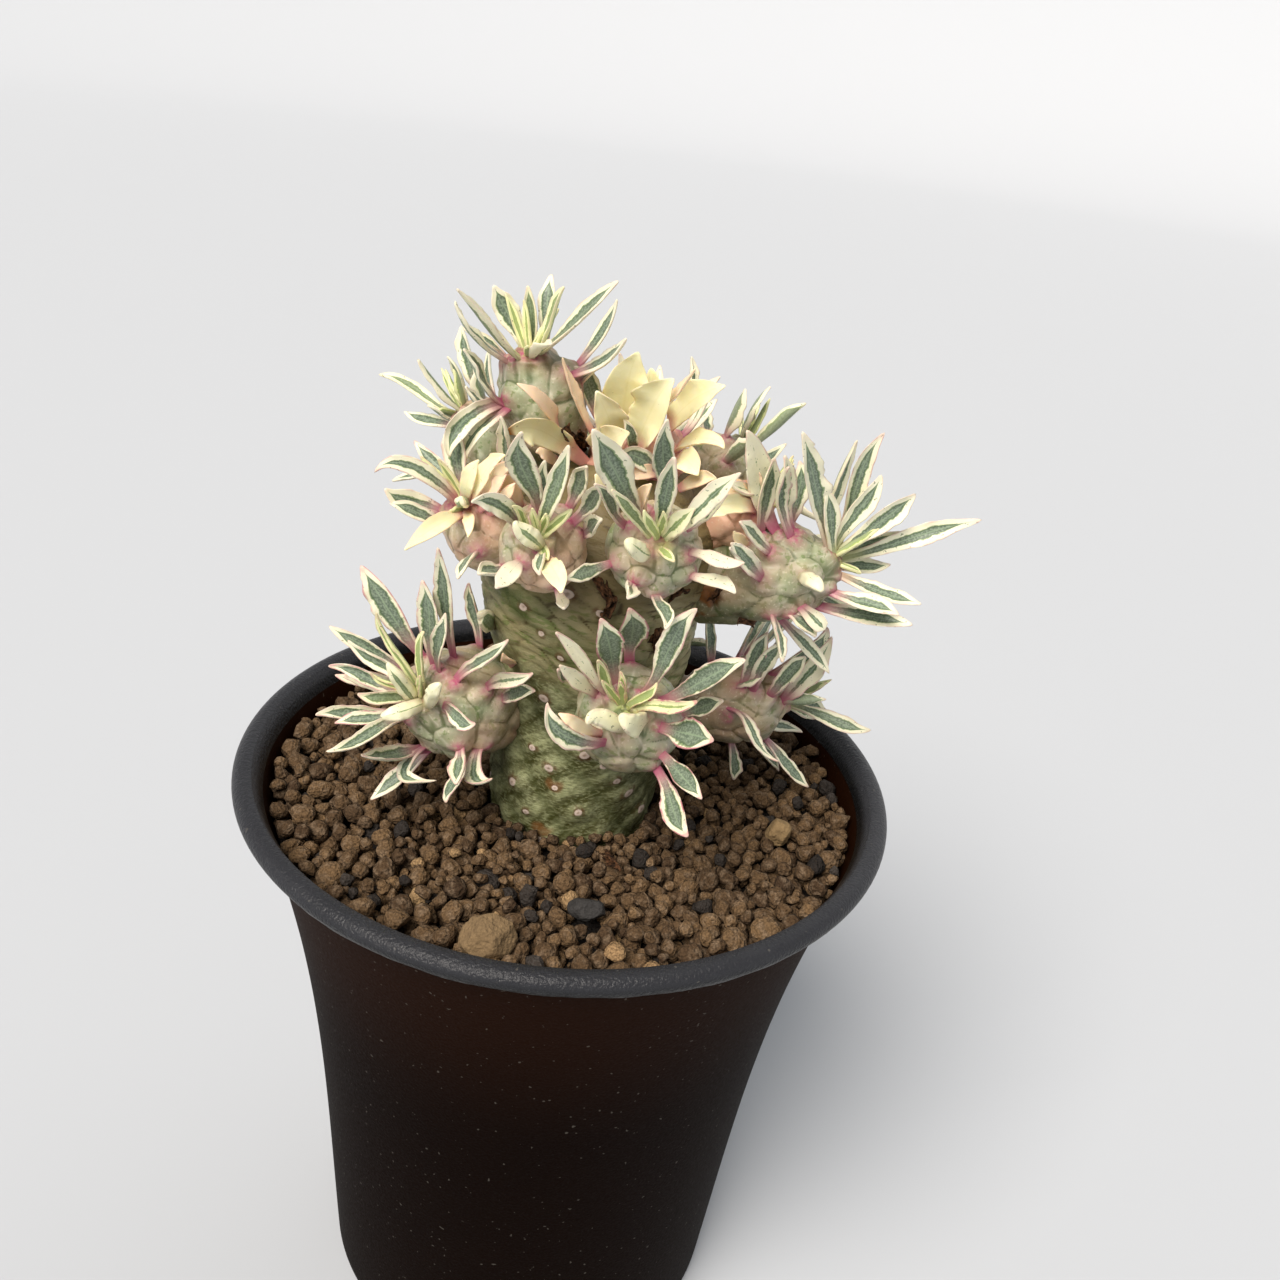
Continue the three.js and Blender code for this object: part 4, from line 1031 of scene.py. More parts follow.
# Leaves that bend, and small rolled ones, by the head they grow on: their finish, width, how
# green or how peach, degrees their face turns from the front, and four points their middle passes.
bentLeaves = {
    "crown": [
        ("cream", 7.2, 0, -10, (3.5, -3, 161.5), (2.5, -5, 166), (2.5, -7.5, 171), (3.5, -9, 175.5)),
        ("cream", 5.6, 0, 10, (5.5, -2, 162.5), (5.5, -2.5, 165.5), (6, -4, 169), (5.5, -4.5, 172.5)),
        ("cream", 7.2, 0.05, 15, (4.5, -4, 160.5), (5.5, -7, 164.5), (6.5, -9.5, 169), (8.5, -11, 173)),
        ("cream", 2, 0.75, 60, (5.5, -4, 161.5), (7, -7, 166.5), (9, -9.5, 170.5), (11, -12, 175)),
        ("cream", 4.8, 0, 15, (9, 0, 162), (10.5, -3.5, 166.5), (12.5, -7, 170), (15.5, -9.5, 172.5)),
        ("cream", 5.6, 0.15, -20,
         (0.5, -3.5, 159.5), (1, -8, 164), (0, -10.5, 167.5), (-1.5, -12, 170.5)),
        ("cream", 5.4, 0.2, 0, (0.5, -4, 158), (0.5, -8.5, 161.5), (1.5, -11, 164), (3.5, -12.5, 165.5)),
        ("cream", 2, 0.9, -55, (-0.5, -2, 160), (-3, -4.5, 165), (-5, -5.5, 169), (-6.5, -6.5, 173)),
        ("variegated", 3.4, 0.8, 0, (0, -1, 162.5), (-2, -1.5, 166.5), (-3, -2, 169), (-5, -2.5, 171)),
        ("cream", 2.6, 1, -30, (-6, -4.5, 162), (-7.5, -7.5, 165.5), (-9, -10, 168), (-12, -11, 170)),
        ("scorched", 4.4, 0, 25,
         (-2, -3, 157), (-6.5, -7.5, 162), (-10, -11.5, 164.5), (-13, -13.5, 163.5)),
        ("cream", 3.2, 0.1, 20, (11, -2, 160), (12, -5.5, 163), (14.5, -8, 164.5), (16.5, -10, 164)),
        ("variegated", 3.8, 0.6, 0,
         (7.5, -6, 158), (6.5, -8, 160), (4.5, -9.5, 161.5), (2.5, -10, 161.5)),
        ("variegated", 1.8, 0.9, 0, (4.5, -5, 160.5), (4, -8, 163), (3.5, -9.5, 165), (2.5, -10, 166.5)),
        ("cream", 3.8, 0.05, 0,
         (10.5, -3.5, 158.5), (11.5, -7, 161), (12.5, -9, 161), (13.5, -10.5, 160)),
        ("cream", 2.6, 0.6, 0, (11.5, -4, 155.5), (13, -8, 158), (14.5, -9.5, 159.5), (16, -11, 160)),
        ("cream", 2.4, 1, 0, (8, -5.5, 157.5), (6.5, -8.5, 159), (5.5, -9.5, 159), (4, -10, 158.5)),
    ],
    "head_scarred": [
        ("cream", 3.6, 0.1, 10,
         (22.5, -7, 154.5), (19.5, -10.5, 156.5), (16, -13.5, 157), (13, -16, 155.5)),
        ("cream", 3.2, 0.9, 0, (21, -6.5, 155), (20, -9, 157.5), (18.5, -10, 159), (17.5, -10.5, 160)),
        ("cream", 2.4, 1, 0, (22, -6, 155.5), (21.5, -7.5, 158), (21.5, -8.5, 160), (21.5, -9, 161.5)),
    ],
    "head_top": [
        ("variegated", 3.4, 0.45, 20,
         (-13, -3, 164.5), (-17, -9, 165), (-19.5, -12, 163), (-20, -13, 159.5)),
        ("variegated", 2.4, 0.3, -20,
         (-13, -4, 164.5), (-15.5, -9, 163.5), (-17.5, -11, 161.5), (-18, -12, 158.5)),
        ("cream", 2.2, 1, 0, (-5.5, -2, 157), (-7, -5.5, 158.5), (-8, -6.5, 159.5), (-9, -7, 159.5)),
    ],
    "head_left_high": [
        ("cream", 2.4, 0.05, 0,
         (-17.5, -14, 154), (-17, -17, 157), (-16.5, -18, 159.5), (-15.5, -18.5, 161.5)),
        ("cream", 2.9, 0.2, 10, (-17, -14, 154), (-15.5, -17.5, 157.5), (-14, -19, 161), (-12, -20, 163)),
        ("cream", 2.2, 0.7, -20,
         (-16.5, -14.5, 154), (-14, -18, 158), (-12.5, -20, 161), (-10.5, -20, 162)),
        ("cream", 2, 1, 20,
         (-15.5, -15, 153.5), (-13.5, -19, 157), (-12.5, -20, 159.5), (-11.5, -20, 161)),
        ("cream", 2, 0.8, -10,
         (-14.5, -15.5, 153), (-12.5, -18.5, 156), (-11.5, -20, 158), (-10.5, -20, 159.5)),
        ("cream", 1.7, 0.1, 0, (-17.5, -15, 153), (-16.5, -18, 153), (-16, -20.5, 153), (-16, -22, 152)),
        ("cream", 2.6, 0.1, 0,
         (-18, -15, 152.5), (-19, -19, 153), (-21, -22.5, 152.5), (-23.5, -26, 151)),
        ("variegated", 2.6, 0.45, 0,
         (-19, -13, 152.5), (-21, -15.5, 156.5), (-25, -17.5, 159.5), (-29, -18, 158)),
        ("plump", 1.8, 0.95, 0,
         (-17.5, -14.5, 153.5), (-17.5, -17, 155), (-17.5, -18.5, 155.5), (-17.5, -19, 156.5)),
        ("cream", 1.7, 0.9, 0,
         (-10, -12.5, 153), (-10.5, -15.5, 156), (-11, -17, 158), (-11.5, -18, 159.5)),
        ("cream", 1.9, 0.8, 0, (-12, -13, 154), (-12, -16.5, 157), (-11.5, -18, 159), (-11, -19, 160.5)),
    ],
    "head_left_mid": [
        ("variegated", 3, 0.4, 0,
         (-9, -24, 154.5), (-10.5, -28.5, 158.5), (-12.5, -31.5, 161), (-14.5, -34, 161.5)),
        ("cream", 3.2, 0, 0, (-5.5, -26, 152), (-4.5, -31, 153), (-3.5, -34, 153), (-3, -36, 152)),
        ("plump", 2.4, 0.5, 0,
         (-6.5, -26, 153.5), (-7.5, -29, 156), (-8.5, -30, 157), (-9.5, -31, 158.5)),
        ("variegated", 1.8, 0.25, 0,
         (-7.5, -21.5, 156.5), (-7.5, -25, 159.5), (-7.5, -26.5, 161.5), (-8, -27.5, 163)),
    ],
    "head_front_high": [
        ("plump", 2.2, 0.3, 0, (7, -26, 154.5), (6, -29, 155.5), (5, -31, 157), (4, -32, 158)),
        ("cream", 3.2, 0.3, 0, (3, -10.5, 154), (1.5, -14, 157), (0.5, -15.5, 159), (-0.5, -16, 160.5)),
        ("cream", 2, 0.9, 40, (6.5, -22, 158), (6, -25, 160.5), (6, -26.5, 162.5), (6.5, -27.5, 164)),
    ],
    "head_left_low": [
        ("plump", 2.2, 0.6, 0,
         (-23, -15.5, 123), (-24, -17.5, 126), (-25, -19, 128.5), (-26.5, -19.5, 131)),
        ("plump", 2.1, 0.1, 0,
         (-21, -17, 123.5), (-20, -20, 126.5), (-19.5, -21.5, 128.5), (-18.5, -22, 130)),
        ("plump", 2.4, 0.25, 0,
         (-22, -16, 123), (-23.5, -19, 123.5), (-25, -20.5, 123.5), (-27, -21, 123)),
        ("variegated", 2.6, 0.5, 0,
         (-20.5, -14, 114.5), (-23, -17, 113.5), (-23.5, -19, 112), (-18.5, -22, 114)),
        ("plump", 2.8, 0.9, 0,
         (-13.5, -3.5, 131), (-14, -8.5, 133.5), (-14.5, -10, 135), (-15, -11, 135.5)),
        ("cream", 1.9, 1, 0, (-10, -9, 127), (-10, -11.5, 129), (-10.5, -13, 130), (-11, -14, 131.5)),
        ("variegated", 3.2, 0.4, 0,
         (-12.5, -14.5, 116.5), (-13.5, -18, 115), (-13, -21, 114), (-10.5, -23, 116)),
    ],
    "head_front_low": [
        ("variegated", 3.2, 0.6, 0,
         (5, -24.5, 125.5), (1.5, -29, 127.5), (-2, -31, 130), (-3.5, -31, 134)),
        ("cream", 2, 0.6, 0, (4.5, -24, 126), (2, -28.5, 129), (0, -31, 131.5), (-2, -31, 132.5)),
        ("plump", 2.4, 0.1, 0, (7, -25.5, 128), (5, -28.5, 130.5), (3, -30, 132), (2, -31.5, 131.5)),
        ("plump", 3.2, 0.1, 0, (9.5, -25, 130), (8.5, -28, 130.5), (7.5, -31, 132), (6, -32, 134)),
    ],
    "head_right_arm": [
        ("plump", 2.2, 0.1, 0,
         (30, -12, 147.5), (30, -16.5, 149), (30.5, -18.5, 149.5), (31.5, -20, 149)),
        ("variegated", 2.8, 0.5, 0,
         (24.5, -11.5, 146.5), (22, -15, 149.5), (20, -16.5, 152), (18.5, -17.5, 153.5)),
        ("cream", 2, 0.4, 0, (22, -8, 149), (21, -10, 151), (20, -11, 152), (19.5, -11.5, 153)),
        ("variegated", 3, 0.25, 0, (30.5, -11, 142.5), (32, -14, 142.5), (33, -15, 142), (34, -15, 141)),
    ],
    "head_right_low": [
        ("variegated", 2.4, 0.4, 60,
         (24, -2.5, 119), (26.5, -8, 121), (28, -11.5, 119.5), (31.5, -14, 118)),
        ("variegated", 3, 0.6, 0, (26, -0.5, 122), (26.5, -3, 127.5), (27, -4, 131.5), (28, -4, 134.5)),
        ("variegated", 2.8, 0.55, 0,
         (28, -1, 122), (28, -3.5, 127.5), (29, -4.5, 131), (30.5, -4.5, 133.5)),
        ("variegated", 3.8, 0.25, 0, (33, 1, 120), (34.5, -2, 125), (36.5, -3, 129.5), (38, -3, 134.5)),
        ("variegated", 3, 0.65, 0, (31, 0, 121.5), (31.5, -3, 125.5), (33, -4, 129), (34.5, -4, 131)),
    ],
}

headPlan = {
    "shoulder": 0.55,
    "waist": 0.72,
    "deep": -0.25,  # tier where a shoot starts, inside what it grows from
    "spacing": 4.9,  # mm between the tubercles that fill the skin between leaves
    "drawn": 0.6,  # how far tubercles are drawn out along the head, 0 not at all
    "relief": 0.45,
    "grain": 0.12,
    "wobble": 0.28,
    "colsPerMm": 15,  # columns for each mm of girth
    "rowsPerMm": 3.7,
    "cushion": 0.9,  # how far a leaf's base draws the skin out
    "cushionReach": 1.35,  # mm from the base, as is the next
    "pinkReach": 1.15,
}


# A head's own directions: its line, up across it, and right across it as its tip is faced.
def headAxes(head):
    root, tip = np.array(head["root"], float), np.array(head["tip"], float)
    length = np.linalg.norm(tip - root)
    line = (tip - root) / length
    across = np.array((0, 0.4, 1.0))
    across = unit(across - line * (across @ line))
    right = np.cross(across, line)
    return {"root": root, "line": line, "length": length, "rise": across, "right": right}


# Radius of a head at a tier: it swells from a waist by a quarter sine, then closes in a dome.
def headRadius(head, tier):
    waist, shoulder = headPlan["waist"], headPlan["shoulder"]
    low = waist + (1 - waist) * np.sin(np.clip(tier / shoulder, 0, 1) * np.pi / 2)
    high = np.sqrt(np.clip(1 - ((tier - shoulder) / (1 - shoulder)) ** 2, 0, 1))
    return head["girth"] * np.where(tier < shoulder, low, high)


# Points of a head at tiers and clock angles, out mm from its line.
def headPoint(axes, tier, clock, out):
    turn = np.radians(np.asarray(clock, float))[..., None]
    across = axes["rise"] * np.cos(turn) + axes["right"] * np.sin(turn)
    middle = axes["root"] + axes["line"] * (np.asarray(tier, float) * axes["length"])[..., None]
    return middle + across * np.asarray(out, float)[..., None]


# The leaves of a head as rows of clock, tier, out, along and width: the listed ones, then the
# rear ones by a rule of golden steps.
def leafRows(head, axes):
    start, stop, count = head["rear"]
    number = np.arange(count)
    golden = (number * 0.618 + 0.3) % 1
    clock = start + (stop - start) * (number + 0.5) / max(count, 1)
    tier = 0.45 + 0.45 * golden
    slope = np.radians(15 + 50 * golden)
    length = 13 - 3 * golden
    out = headRadius(head, tier) + length * np.cos(slope)
    reach = tier * axes["length"] + length * np.sin(slope)
    rear = np.stack([clock, tier, out, reach, np.full(count, 2.5)], -1)
    rear = np.delete(rear, head.get("skip", []), axis=0)
    lists = (head.get(title, []) for title in ("paleLeaves", "leaves"))
    pale, listed = (np.array(rows, float).reshape(-1, 5) for rows in lists)
    return np.concatenate([pale, listed, rear, tuftRows(axes)]), len(pale)


# Short young leaves round the growing point: most rise upwards from it, a few lie below.
def tuftRows(axes):
    number = np.arange(4)
    first, second = (number * 0.618 + 0.2) % 1, (number * 0.382 + 0.4) % 1
    upper = number < 3
    clock = np.where(upper, -75 + 150 * first, 140 + 80 * first)
    out = np.where(upper, 2.5 + 4 * second, 2.2 + 1.6 * second)
    reach = axes["length"] + np.where(upper, 4 + 4 * (1 - first), 2.0 + 1.5 * second)
    return np.stack([clock, 0.965 + 0.03 * second, out, reach, 1.1 + 0.35 * second], -1)


# Middles of a head's tubercles: one under each leaf, and others wherever a golden walk over
# the skin finds room.
def tubercleSeeds(head, axes, bases):
    seeds = list(bases)
    for number in range(420):
        tier = headPlan["deep"] + (0.99 - headPlan["deep"]) * ((number * 0.7549) % 1)
        spot = headPoint(axes, tier, number * 137.5, headRadius(head, np.array(tier)))
        if min(np.linalg.norm(np.array(seeds) - spot, axis=1)) > headPlan["spacing"]:
            seeds.append(spot)
    return np.array(seeds)


# Shoot skin: grey green with fibres, older and darker low down, where on the right arm the dark
# old skin also stands for painted shade, salmon where it blushes, dark grooves, magenta at the
# leaf bases and cork patches.
def makeShootPaint():
    paint, tree, shader = newPaint(
        "shoot_skin", 0.46, Specular_IOR_Level=0.4, Subsurface_Weight=0.08,
        Subsurface_Radius=(0.0016, 0.0009, 0.0006),
    )
    blush = field(tree, "blush")
    groove = rise(tree, field(tree, "groove"), 0.68, 0.93)
    groove = times(tree, groove, patches(tree, 3.2, 2.0, 0.34, 0.56))
    streaky = plus(tree, times(tree, patches(tree, 0.7, 4.0, 0.32, 0.62), 0.65), 0.35)
    skin = coated(
        tree, cloudy(tree, 2.2, 3.0, "#838a66", "#bac09f"),
        ("#d9d8c2", field(tree, "fibre"), 0.5),
        ("#b9989a", patches(tree, 3.4, 3.0, 0.4, 0.62), 0.25),
        ("#5f7a33", patches(tree, 1.1, 4.0, 0.56, 0.63), 0.6),
        (cloudy(tree, 1.8, 4.0, "#3b3d22", "#70704c"), field(tree, "agedAndShade"), 0.85),
        ("#a3b45c", field(tree, "fresh")),
        (cloudy(tree, 1.6, 3.0, "#e0a48e", "#ecc3a2"), blush),
        ("#e6dfc6", patches(tree, 0.45, 2.0, 0.6, 0.72), 0.35),
        (blend(tree, blush, "#4a5a2c", "#8a5a38"), groove, 0.75),
        ("#b04a72", field(tree, "pink"), streaky),
        (cloudy(tree, 0.9, 4.0, "#40260f", "#99612b"), field(tree, "cork")),
    )
    dress(tree, shader, skin, mottle(tree, 0.5, 4.0), 0.12, 0.7)
    return paint


# The skin of a head: rings of its radius. A point's tubercle is the nearest seed, with gaps
# along the head counted short, the groove lies where two seeds are equally far, and each leaf
# draws the skin out along itself.
def makeShoot(name, head, axes, leaves, paint, seed):
    bases, youth = leaves["skin"], leaves["young"]
    cols = int(round(head["girth"] * headPlan["colsPerMm"]))
    rows = int(round((axes["length"] * 1.25 + head["girth"]) * headPlan["rowsPerMm"]))
    part = np.linspace(0, 0.985, rows)
    tier = headPlan["deep"] + (1 - headPlan["deep"]) * np.sin(part * np.pi / 2) ** 0.95
    clock = -np.arange(cols) * 360 / cols
    tierGrid, clockGrid = np.meshgrid(tier, clock, indexing="ij")
    skin = headPoint(axes, tierGrid, clockGrid, np.maximum(headRadius(head, tierGrid), 0.5))
    middle = headPoint(axes, tierGrid, clockGrid, 0 * tierGrid)
    outward = unit(skin - middle + axes["line"] * (ease(tierGrid, 0.5, 1) * head["girth"])[..., None])
    ends = headPoint(axes, np.array((headPlan["deep"], 1.0)), np.zeros(2), np.zeros(2))
    points = np.concatenate([skin.reshape(-1, 3), ends])
    outward = np.concatenate([outward.reshape(-1, 3), [-axes["line"], axes["line"]]])
    seeds = tubercleSeeds(head, axes, bases)
    wobble = np.stack([smoothNoise(points / 1.6, seed + k) for k in range(3)], -1) * headPlan["wobble"]
    grain = np.gradient(skin, axis=0)
    grain = np.concatenate([unit(grain).reshape(-1, 3), [axes["line"], axes["line"]]])
    offset = (points + wobble)[:, None] - seeds[None]
    drawn = (offset * grain[:, None]).sum(-1)
    gaps = np.sqrt((offset**2).sum(-1) - headPlan["drawn"] * drawn**2)
    ordered = np.sort(gaps, axis=1)[:, :2]
    between = ordered[:, 1] - ordered[:, 0]
    lift = headPlan["relief"] * (ease(between, 0, 1.4) - 0.5)
    lift += headPlan["grain"] * smoothNoise(points / 1.1, seed)
    toBase = np.linalg.norm(offset[:, : len(bases)], axis=2)
    pull = np.exp(-((toBase / headPlan["cushionReach"]) ** 2))
    pull = pull / np.maximum(pull.sum(axis=1, keepdims=True), 1)
    points = points + outward * lift[:, None] + headPlan["cushion"] * (pull @ leaves["lean"])
    apart = np.exp(-((toBase / headPlan["pinkReach"]) ** 2))
    near = 0.95 * (apart * (1 - youth)).max(axis=1)
    fresh = 0.85 * (apart * youth).max(axis=1)
    turns = np.append(clockGrid.ravel(), (0, 0))
    turned = np.radians(turns)
    lines = np.stack([np.cos(turned), np.sin(turned), 0 * turns], -1) * head["girth"] / 0.45
    lines[:, 2] = np.append(tierGrid.ravel(), (0, 1)) * axes["length"] / 2.5
    fibre = ease(smoothNoise(lines, seed + 11), 0.1, 0.7)
    # Old, darker skin low on the head; where the aged tier is raised, as on the right arm, it also stands
    # for painted shade.
    level = np.append(tierGrid.ravel(), (0, 1)) + 0.15 * smoothNoise(points / 2.5, seed + 9)
    agedAndShade = 1 - ease(level, 0.1, head.get("agedAndShade", 0.6))
    blush = head["look"][2] + 0.35 * smoothNoise(points / 3.5, seed + 5)
    cork = np.zeros(len(points))
    for spot, size in head.get("cork", ()):
        gap = np.linalg.norm(points - np.array(spot), axis=1) / size
        cork = np.maximum(cork, 1 - ease(gap + 0.4 * smoothNoise(points / 0.9, 31), 0.4, 0.9))
    fields = {
        "groove": np.clip(1 - between / 1.1, 0, 1), "pink": near, "fresh": fresh,
        "blush": np.clip(blush, 0, 1), "cork": cork, "agedAndShade": agedAndShade, "fibre": fibre,
    }
    addPiece(name + "_shoot", points, tubeFaces(rows, cols), paint, [name], fields)


# Leaves

blade = {
    "stations": 28,
    "section": 14,
    "rooted": 1.3,  # mm of a leaf inside the skin
    "stalk": 0.64,  # half width of a stalk
    "thick": 0.74,
    "crest": (1.14, 1.5),  # where a blade is widest, straps to spoons: larger is nearer its point
    "rise": (0.95, 1.6),  # how late a blade widens, straps to spoons
    "taper": (0.6, 0.8),
    "wavy": (0.09, 0.07),  # how far coarse and fine waves move a margin out and in
    "ruffle": (0.26, 0.14),  # and up and down
    "vein": (-0.10, -0.12),  # mm that the midline is raised by on the face and on the back
    "veinWidth": 0.16,
    "streaked": 0.04,  # share of blades with little green
    "bow": (-0.09, 0.2),
    "sway": 0.11,
    "twist": 0.6,
}


# Where a point lies on its blade: 0 at the root to 1 at the point, and 0 on the midline to 1 at
# the margin.
def bladePlaces(tree):
    chart = tree.nodes.new("ShaderNodeUVMap")
    chart.uv_map = "UVMap"
    parts = tree.nodes.new("ShaderNodeSeparateXYZ")
    tree.links.new(chart.outputs["UV"], parts.inputs[0])
    aside = reckon(tree, "ABSOLUTE", minus(tree, times(tree, parts.outputs["X"], 2), 1))
    return parts.outputs["Y"], aside


# A variegated blade. Room is how far a point lies inside the green middle: its jagged limit
# less the distance from the midline. Outside is cream, with a pink margin, tip and stalk.
def makeLeafPaint():
    paint, tree, shader = newPaint(
        "leaf_variegated", 0.42, Specular_IOR_Level=0.45, Subsurface_Weight=0.08,
        Subsurface_Radius=(0.0011, 0.0011, 0.0005),
    )
    place, aside = bladePlaces(tree)
    edge, young, rosy = (field(tree, title) for title in ("edge", "young", "rosy"))
    coarse, fine = mottle(tree, 1.7, 2.0), mottle(tree, 0.55, 3.0)
    jagged = plus(
        tree, times(tree, minus(tree, coarse, 0.5), 0.9), times(tree, minus(tree, fine, 0.5), 0.65)
    )
    tipFade = rise(tree, plus(tree, place, times(tree, jagged, 0.12)), 0.97, 0.72)
    limit = times(tree, plus(tree, field(tree, "green"), times(tree, jagged, 0.5)), tipFade)
    room = minus(tree, limit, aside)
    cream = coated(tree, cloudy(tree, 2.4, 2.0, "#f0ebc9", "#f8f5de"), ("#eef0b8", young))
    centre = coated(
        tree, blend(tree, patches(tree, 0.3, 2.0, 0.36, 0.68), "#61705f", "#909f8a"),
        ("#52664a", rise(tree, room, 0.27, 0.13)),
        ("#8fa286", rise(tree, aside, 0.1, 0.0)),
        ("#adbd74", young, 0.75),
        ("#a9b594", field(tree, "under"), 0.45),
    )
    deep = rise(tree, room, 0.06, 0.15)
    dot = times(tree, patches(tree, 0.5, 1.0, 0.7, 0.74), rise(tree, room, 0.05, -0.05))
    rim = times(tree, rise(tree, aside, 0.82, 0.95), times(tree, edge, rise(tree, coarse, 0.3, 0.6)))
    wavy = plus(tree, place, times(tree, jagged, 0.1))
    stalk = rise(tree, wavy, 0.3, 0.1)
    body = coated(
        tree, cream,
        (blend(tree, young, "#93a67c", "#b3c86c"), rise(tree, room, -0.02, 0.05)),
        (centre, deep),
        ("#5d6b45", dot, 0.7),
        ("#c5828a", rim),
        ("#c26a78", rise(tree, wavy, 0.9, 1.0), times(tree, edge, 0.6)),
        ("#b3c184", stalk, 0.8),
        ("#c88f98", times(tree, rise(tree, wavy, 0.46, 0.16), rosy), 0.65),
        ("#ab4a72", times(tree, stalk, rosy), 0.85),
    )
    tree.links.new(plus(tree, times(tree, fine, 0.2), 0.33), shader.inputs["Roughness"])
    dress(tree, shader, body, plus(tree, fine, times(tree, deep, -0.15)), 0.07, 0.6)
    return paint


# A cream blade: peach by its green value, a pale vein, rosy margin and foot, a scorched tip.
def makeCreamPaint():
    paint, tree, shader = newPaint(
        "leaf_cream", 0.4, Specular_IOR_Level=0.4, Subsurface_Weight=0.5,
        Subsurface_Radius=(0.003, 0.0026, 0.0016),
    )
    place, aside = bladePlaces(tree)
    cloud = mottle(tree, 2.2, 3.0)
    wavy = plus(tree, place, times(tree, cloud, 0.2))
    burnt = cloudy(tree, 0.8, 3.0, "#6b3a12", "#c9832e")
    body = coated(
        tree, blend(tree, cloud, "#faf0b8", "#fffad6"),
        (blend(tree, cloud, "#f3c9ac", "#fae3c6"), field(tree, "green"), 0.9),
        ("#e6de9c", rise(tree, aside, 0.09, 0.0), 0.25),
        ("#dba28c", rise(tree, aside, 0.86, 0.98), field(tree, "edge")),
        ("#a9a35c", patches(tree, 0.7, 2.0, 0.72, 0.76), 0.5),
        ("#d98a94", rise(tree, wavy, 0.46, 0.22), 0.8),
        (burnt, field(tree, "scorch"), rise(tree, place, 0.84, 0.93)),
    )
    dress(tree, shader, body, mottle(tree, 0.6, 3.0), 0.07, 0.6)
    return paint


# Blades as rings along midlines, all at once: one row of every array is one leaf. A midline is a
# cubic curve from root to point with two handles. Its half width is a sine hump raised to one
# power below its widest place and another above. Across it the blade is an arc of a circle, curl
# radians from middle to margin, with a rounded thickness on both sides.
def bladePoints(leaves):
    count, stations, section = len(leaves["root"]), blade["stations"], blade["section"]
    each = {title: values[:, None] for title, values in leaves.items()}
    s = 1 - (1 - np.arange(stations) / stations) ** 1.2
    place = s[None, :, None]
    root, near, far, tip = (each[title] for title in ("root", "near", "far", "tip"))
    back = 1 - place
    middle = back**3 * root + 3 * back**2 * place * near + 3 * back * place**2 * far + place**3 * tip
    slope = 3 * back**2 * (near - root) + 6 * back * place * (far - near) + 3 * place**2 * (tip - far)
    forward = unit(slope)
    first = np.cross(leaves["face"], leaves["tip"] - leaves["root"])[:, None]
    across = unit(first - forward * (first * forward).sum(-1, keepdims=True))
    face = np.cross(forward, across)
    turn = (each["twist"] * (s - 0.3))[..., None]
    c, t = np.cos(turn), np.sin(turn)
    across, face = across * c + face * t, face * c - across * t
    phi = np.arange(section) * 2 * np.pi / section
    x, top = np.cos(phi), np.sin(phi)
    hump = np.clip(np.sin(np.pi * s[None] ** each["crest"]), 0, 1)
    power = np.where(s[None] < 0.5 ** (1 / each["crest"]), each["rise"], each["taper"])
    body = each["width"] / 2 * hump**power
    body = body * (1 - each["acute"] * ease(s[None], 0.78, 0.97))
    stalk = blade["stalk"] * (0.5 + 0.5 * each["width"] / 3) * (1 - s[None] ** 1.5)
    half = np.sqrt(body**2 + stalk**2) + 0.04
    travel = s[None] * np.linalg.norm(tip - root, axis=-1)

    # Waves of size mm along the two margins, each margin on its own.
    def ripple(size, shift, seed):
        lanes = [0 * travel + each["seed"] * 9 + side * 4.7 + shift for side in (0, 1)]
        waves = [smoothNoise(np.stack([travel / size, lane], -1), seed)[..., None] for lane in lanes]
        return np.where(x > 0, *waves)

    coarse, fine = ripple(2.3, 0, 41), ripple(0.9, 2.3, 42)
    margin = np.abs(x)[None, None]
    broad = ease(body / np.maximum(half, 1e-6), 0.4, 0.9)[..., None]
    waves = blade["wavy"][0] * coarse + blade["wavy"][1] * fine
    reach = half[..., None] * (1 + broad * waves * margin)
    curl = each["curl"][..., None] * (0.35 + 0.65 * broad) + 0.0 * reach
    curl = np.where(np.abs(curl) < 0.05, 0.05, curl)
    arc = curl * margin
    sideways = np.sign(x) * reach * np.sin(arc) / curl
    raised = reach * (1 - np.cos(arc)) / curl
    waves = blade["ruffle"][0] * coarse + blade["ruffle"][1] * fine
    raised = raised + broad * reach * margin**2 * waves * each["ruffle"][..., None]
    thick = each["thick"][..., None] * (1 - 0.45 * s[None, :, None] ** 1.5)
    thick = np.minimum(thick, 1.6 * half[..., None] + 0.05)
    skinUp = 0.5 * thick * top * (1 - 0.35 * broad * (margin**2))
    vein = np.exp(-((x / blade["veinWidth"]) ** 2)) * broad
    skinUp = skinUp + vein * np.where(top > 0, *blade["vein"])
    sideways = (sideways - np.sign(x) * np.sin(arc) * skinUp)[..., None]
    raised = (raised + np.cos(arc) * skinUp)[..., None]
    rings = middle[:, :, None] + across[:, :, None] * sideways + face[:, :, None] * raised
    ends = np.stack([leaves["root"], leaves["tip"]], axis=1)
    points = np.concatenate([rings.reshape(count, -1, 3), ends], axis=1)
    spread = np.zeros((*points.shape[:2], 2))
    spread[:, :-2, 0] = np.tile((x + 1) / 2, stations)[None]
    spread[:, :-2, 1] = np.repeat(s, section)[None]
    spread[:, -2:] = ((0.5, 0.0), (0.5, 1.0))
    under = np.zeros(points.shape[:2])
    under[:, :-2] = np.tile((top < -0.01).astype(float), stations)[None]
    return points, spread, under


# A piece of such blades.
def addBlades(name, points, spread, paint, node, fields):
    count, size = points.shape[:2]
    faces = [repeatFaces(part, count, size) for part in tubeFaces(blade["stations"], blade["section"])]
    addPiece(name, points.reshape(-1, 3), faces, paint, [node], fields, spread.reshape(-1, 2))


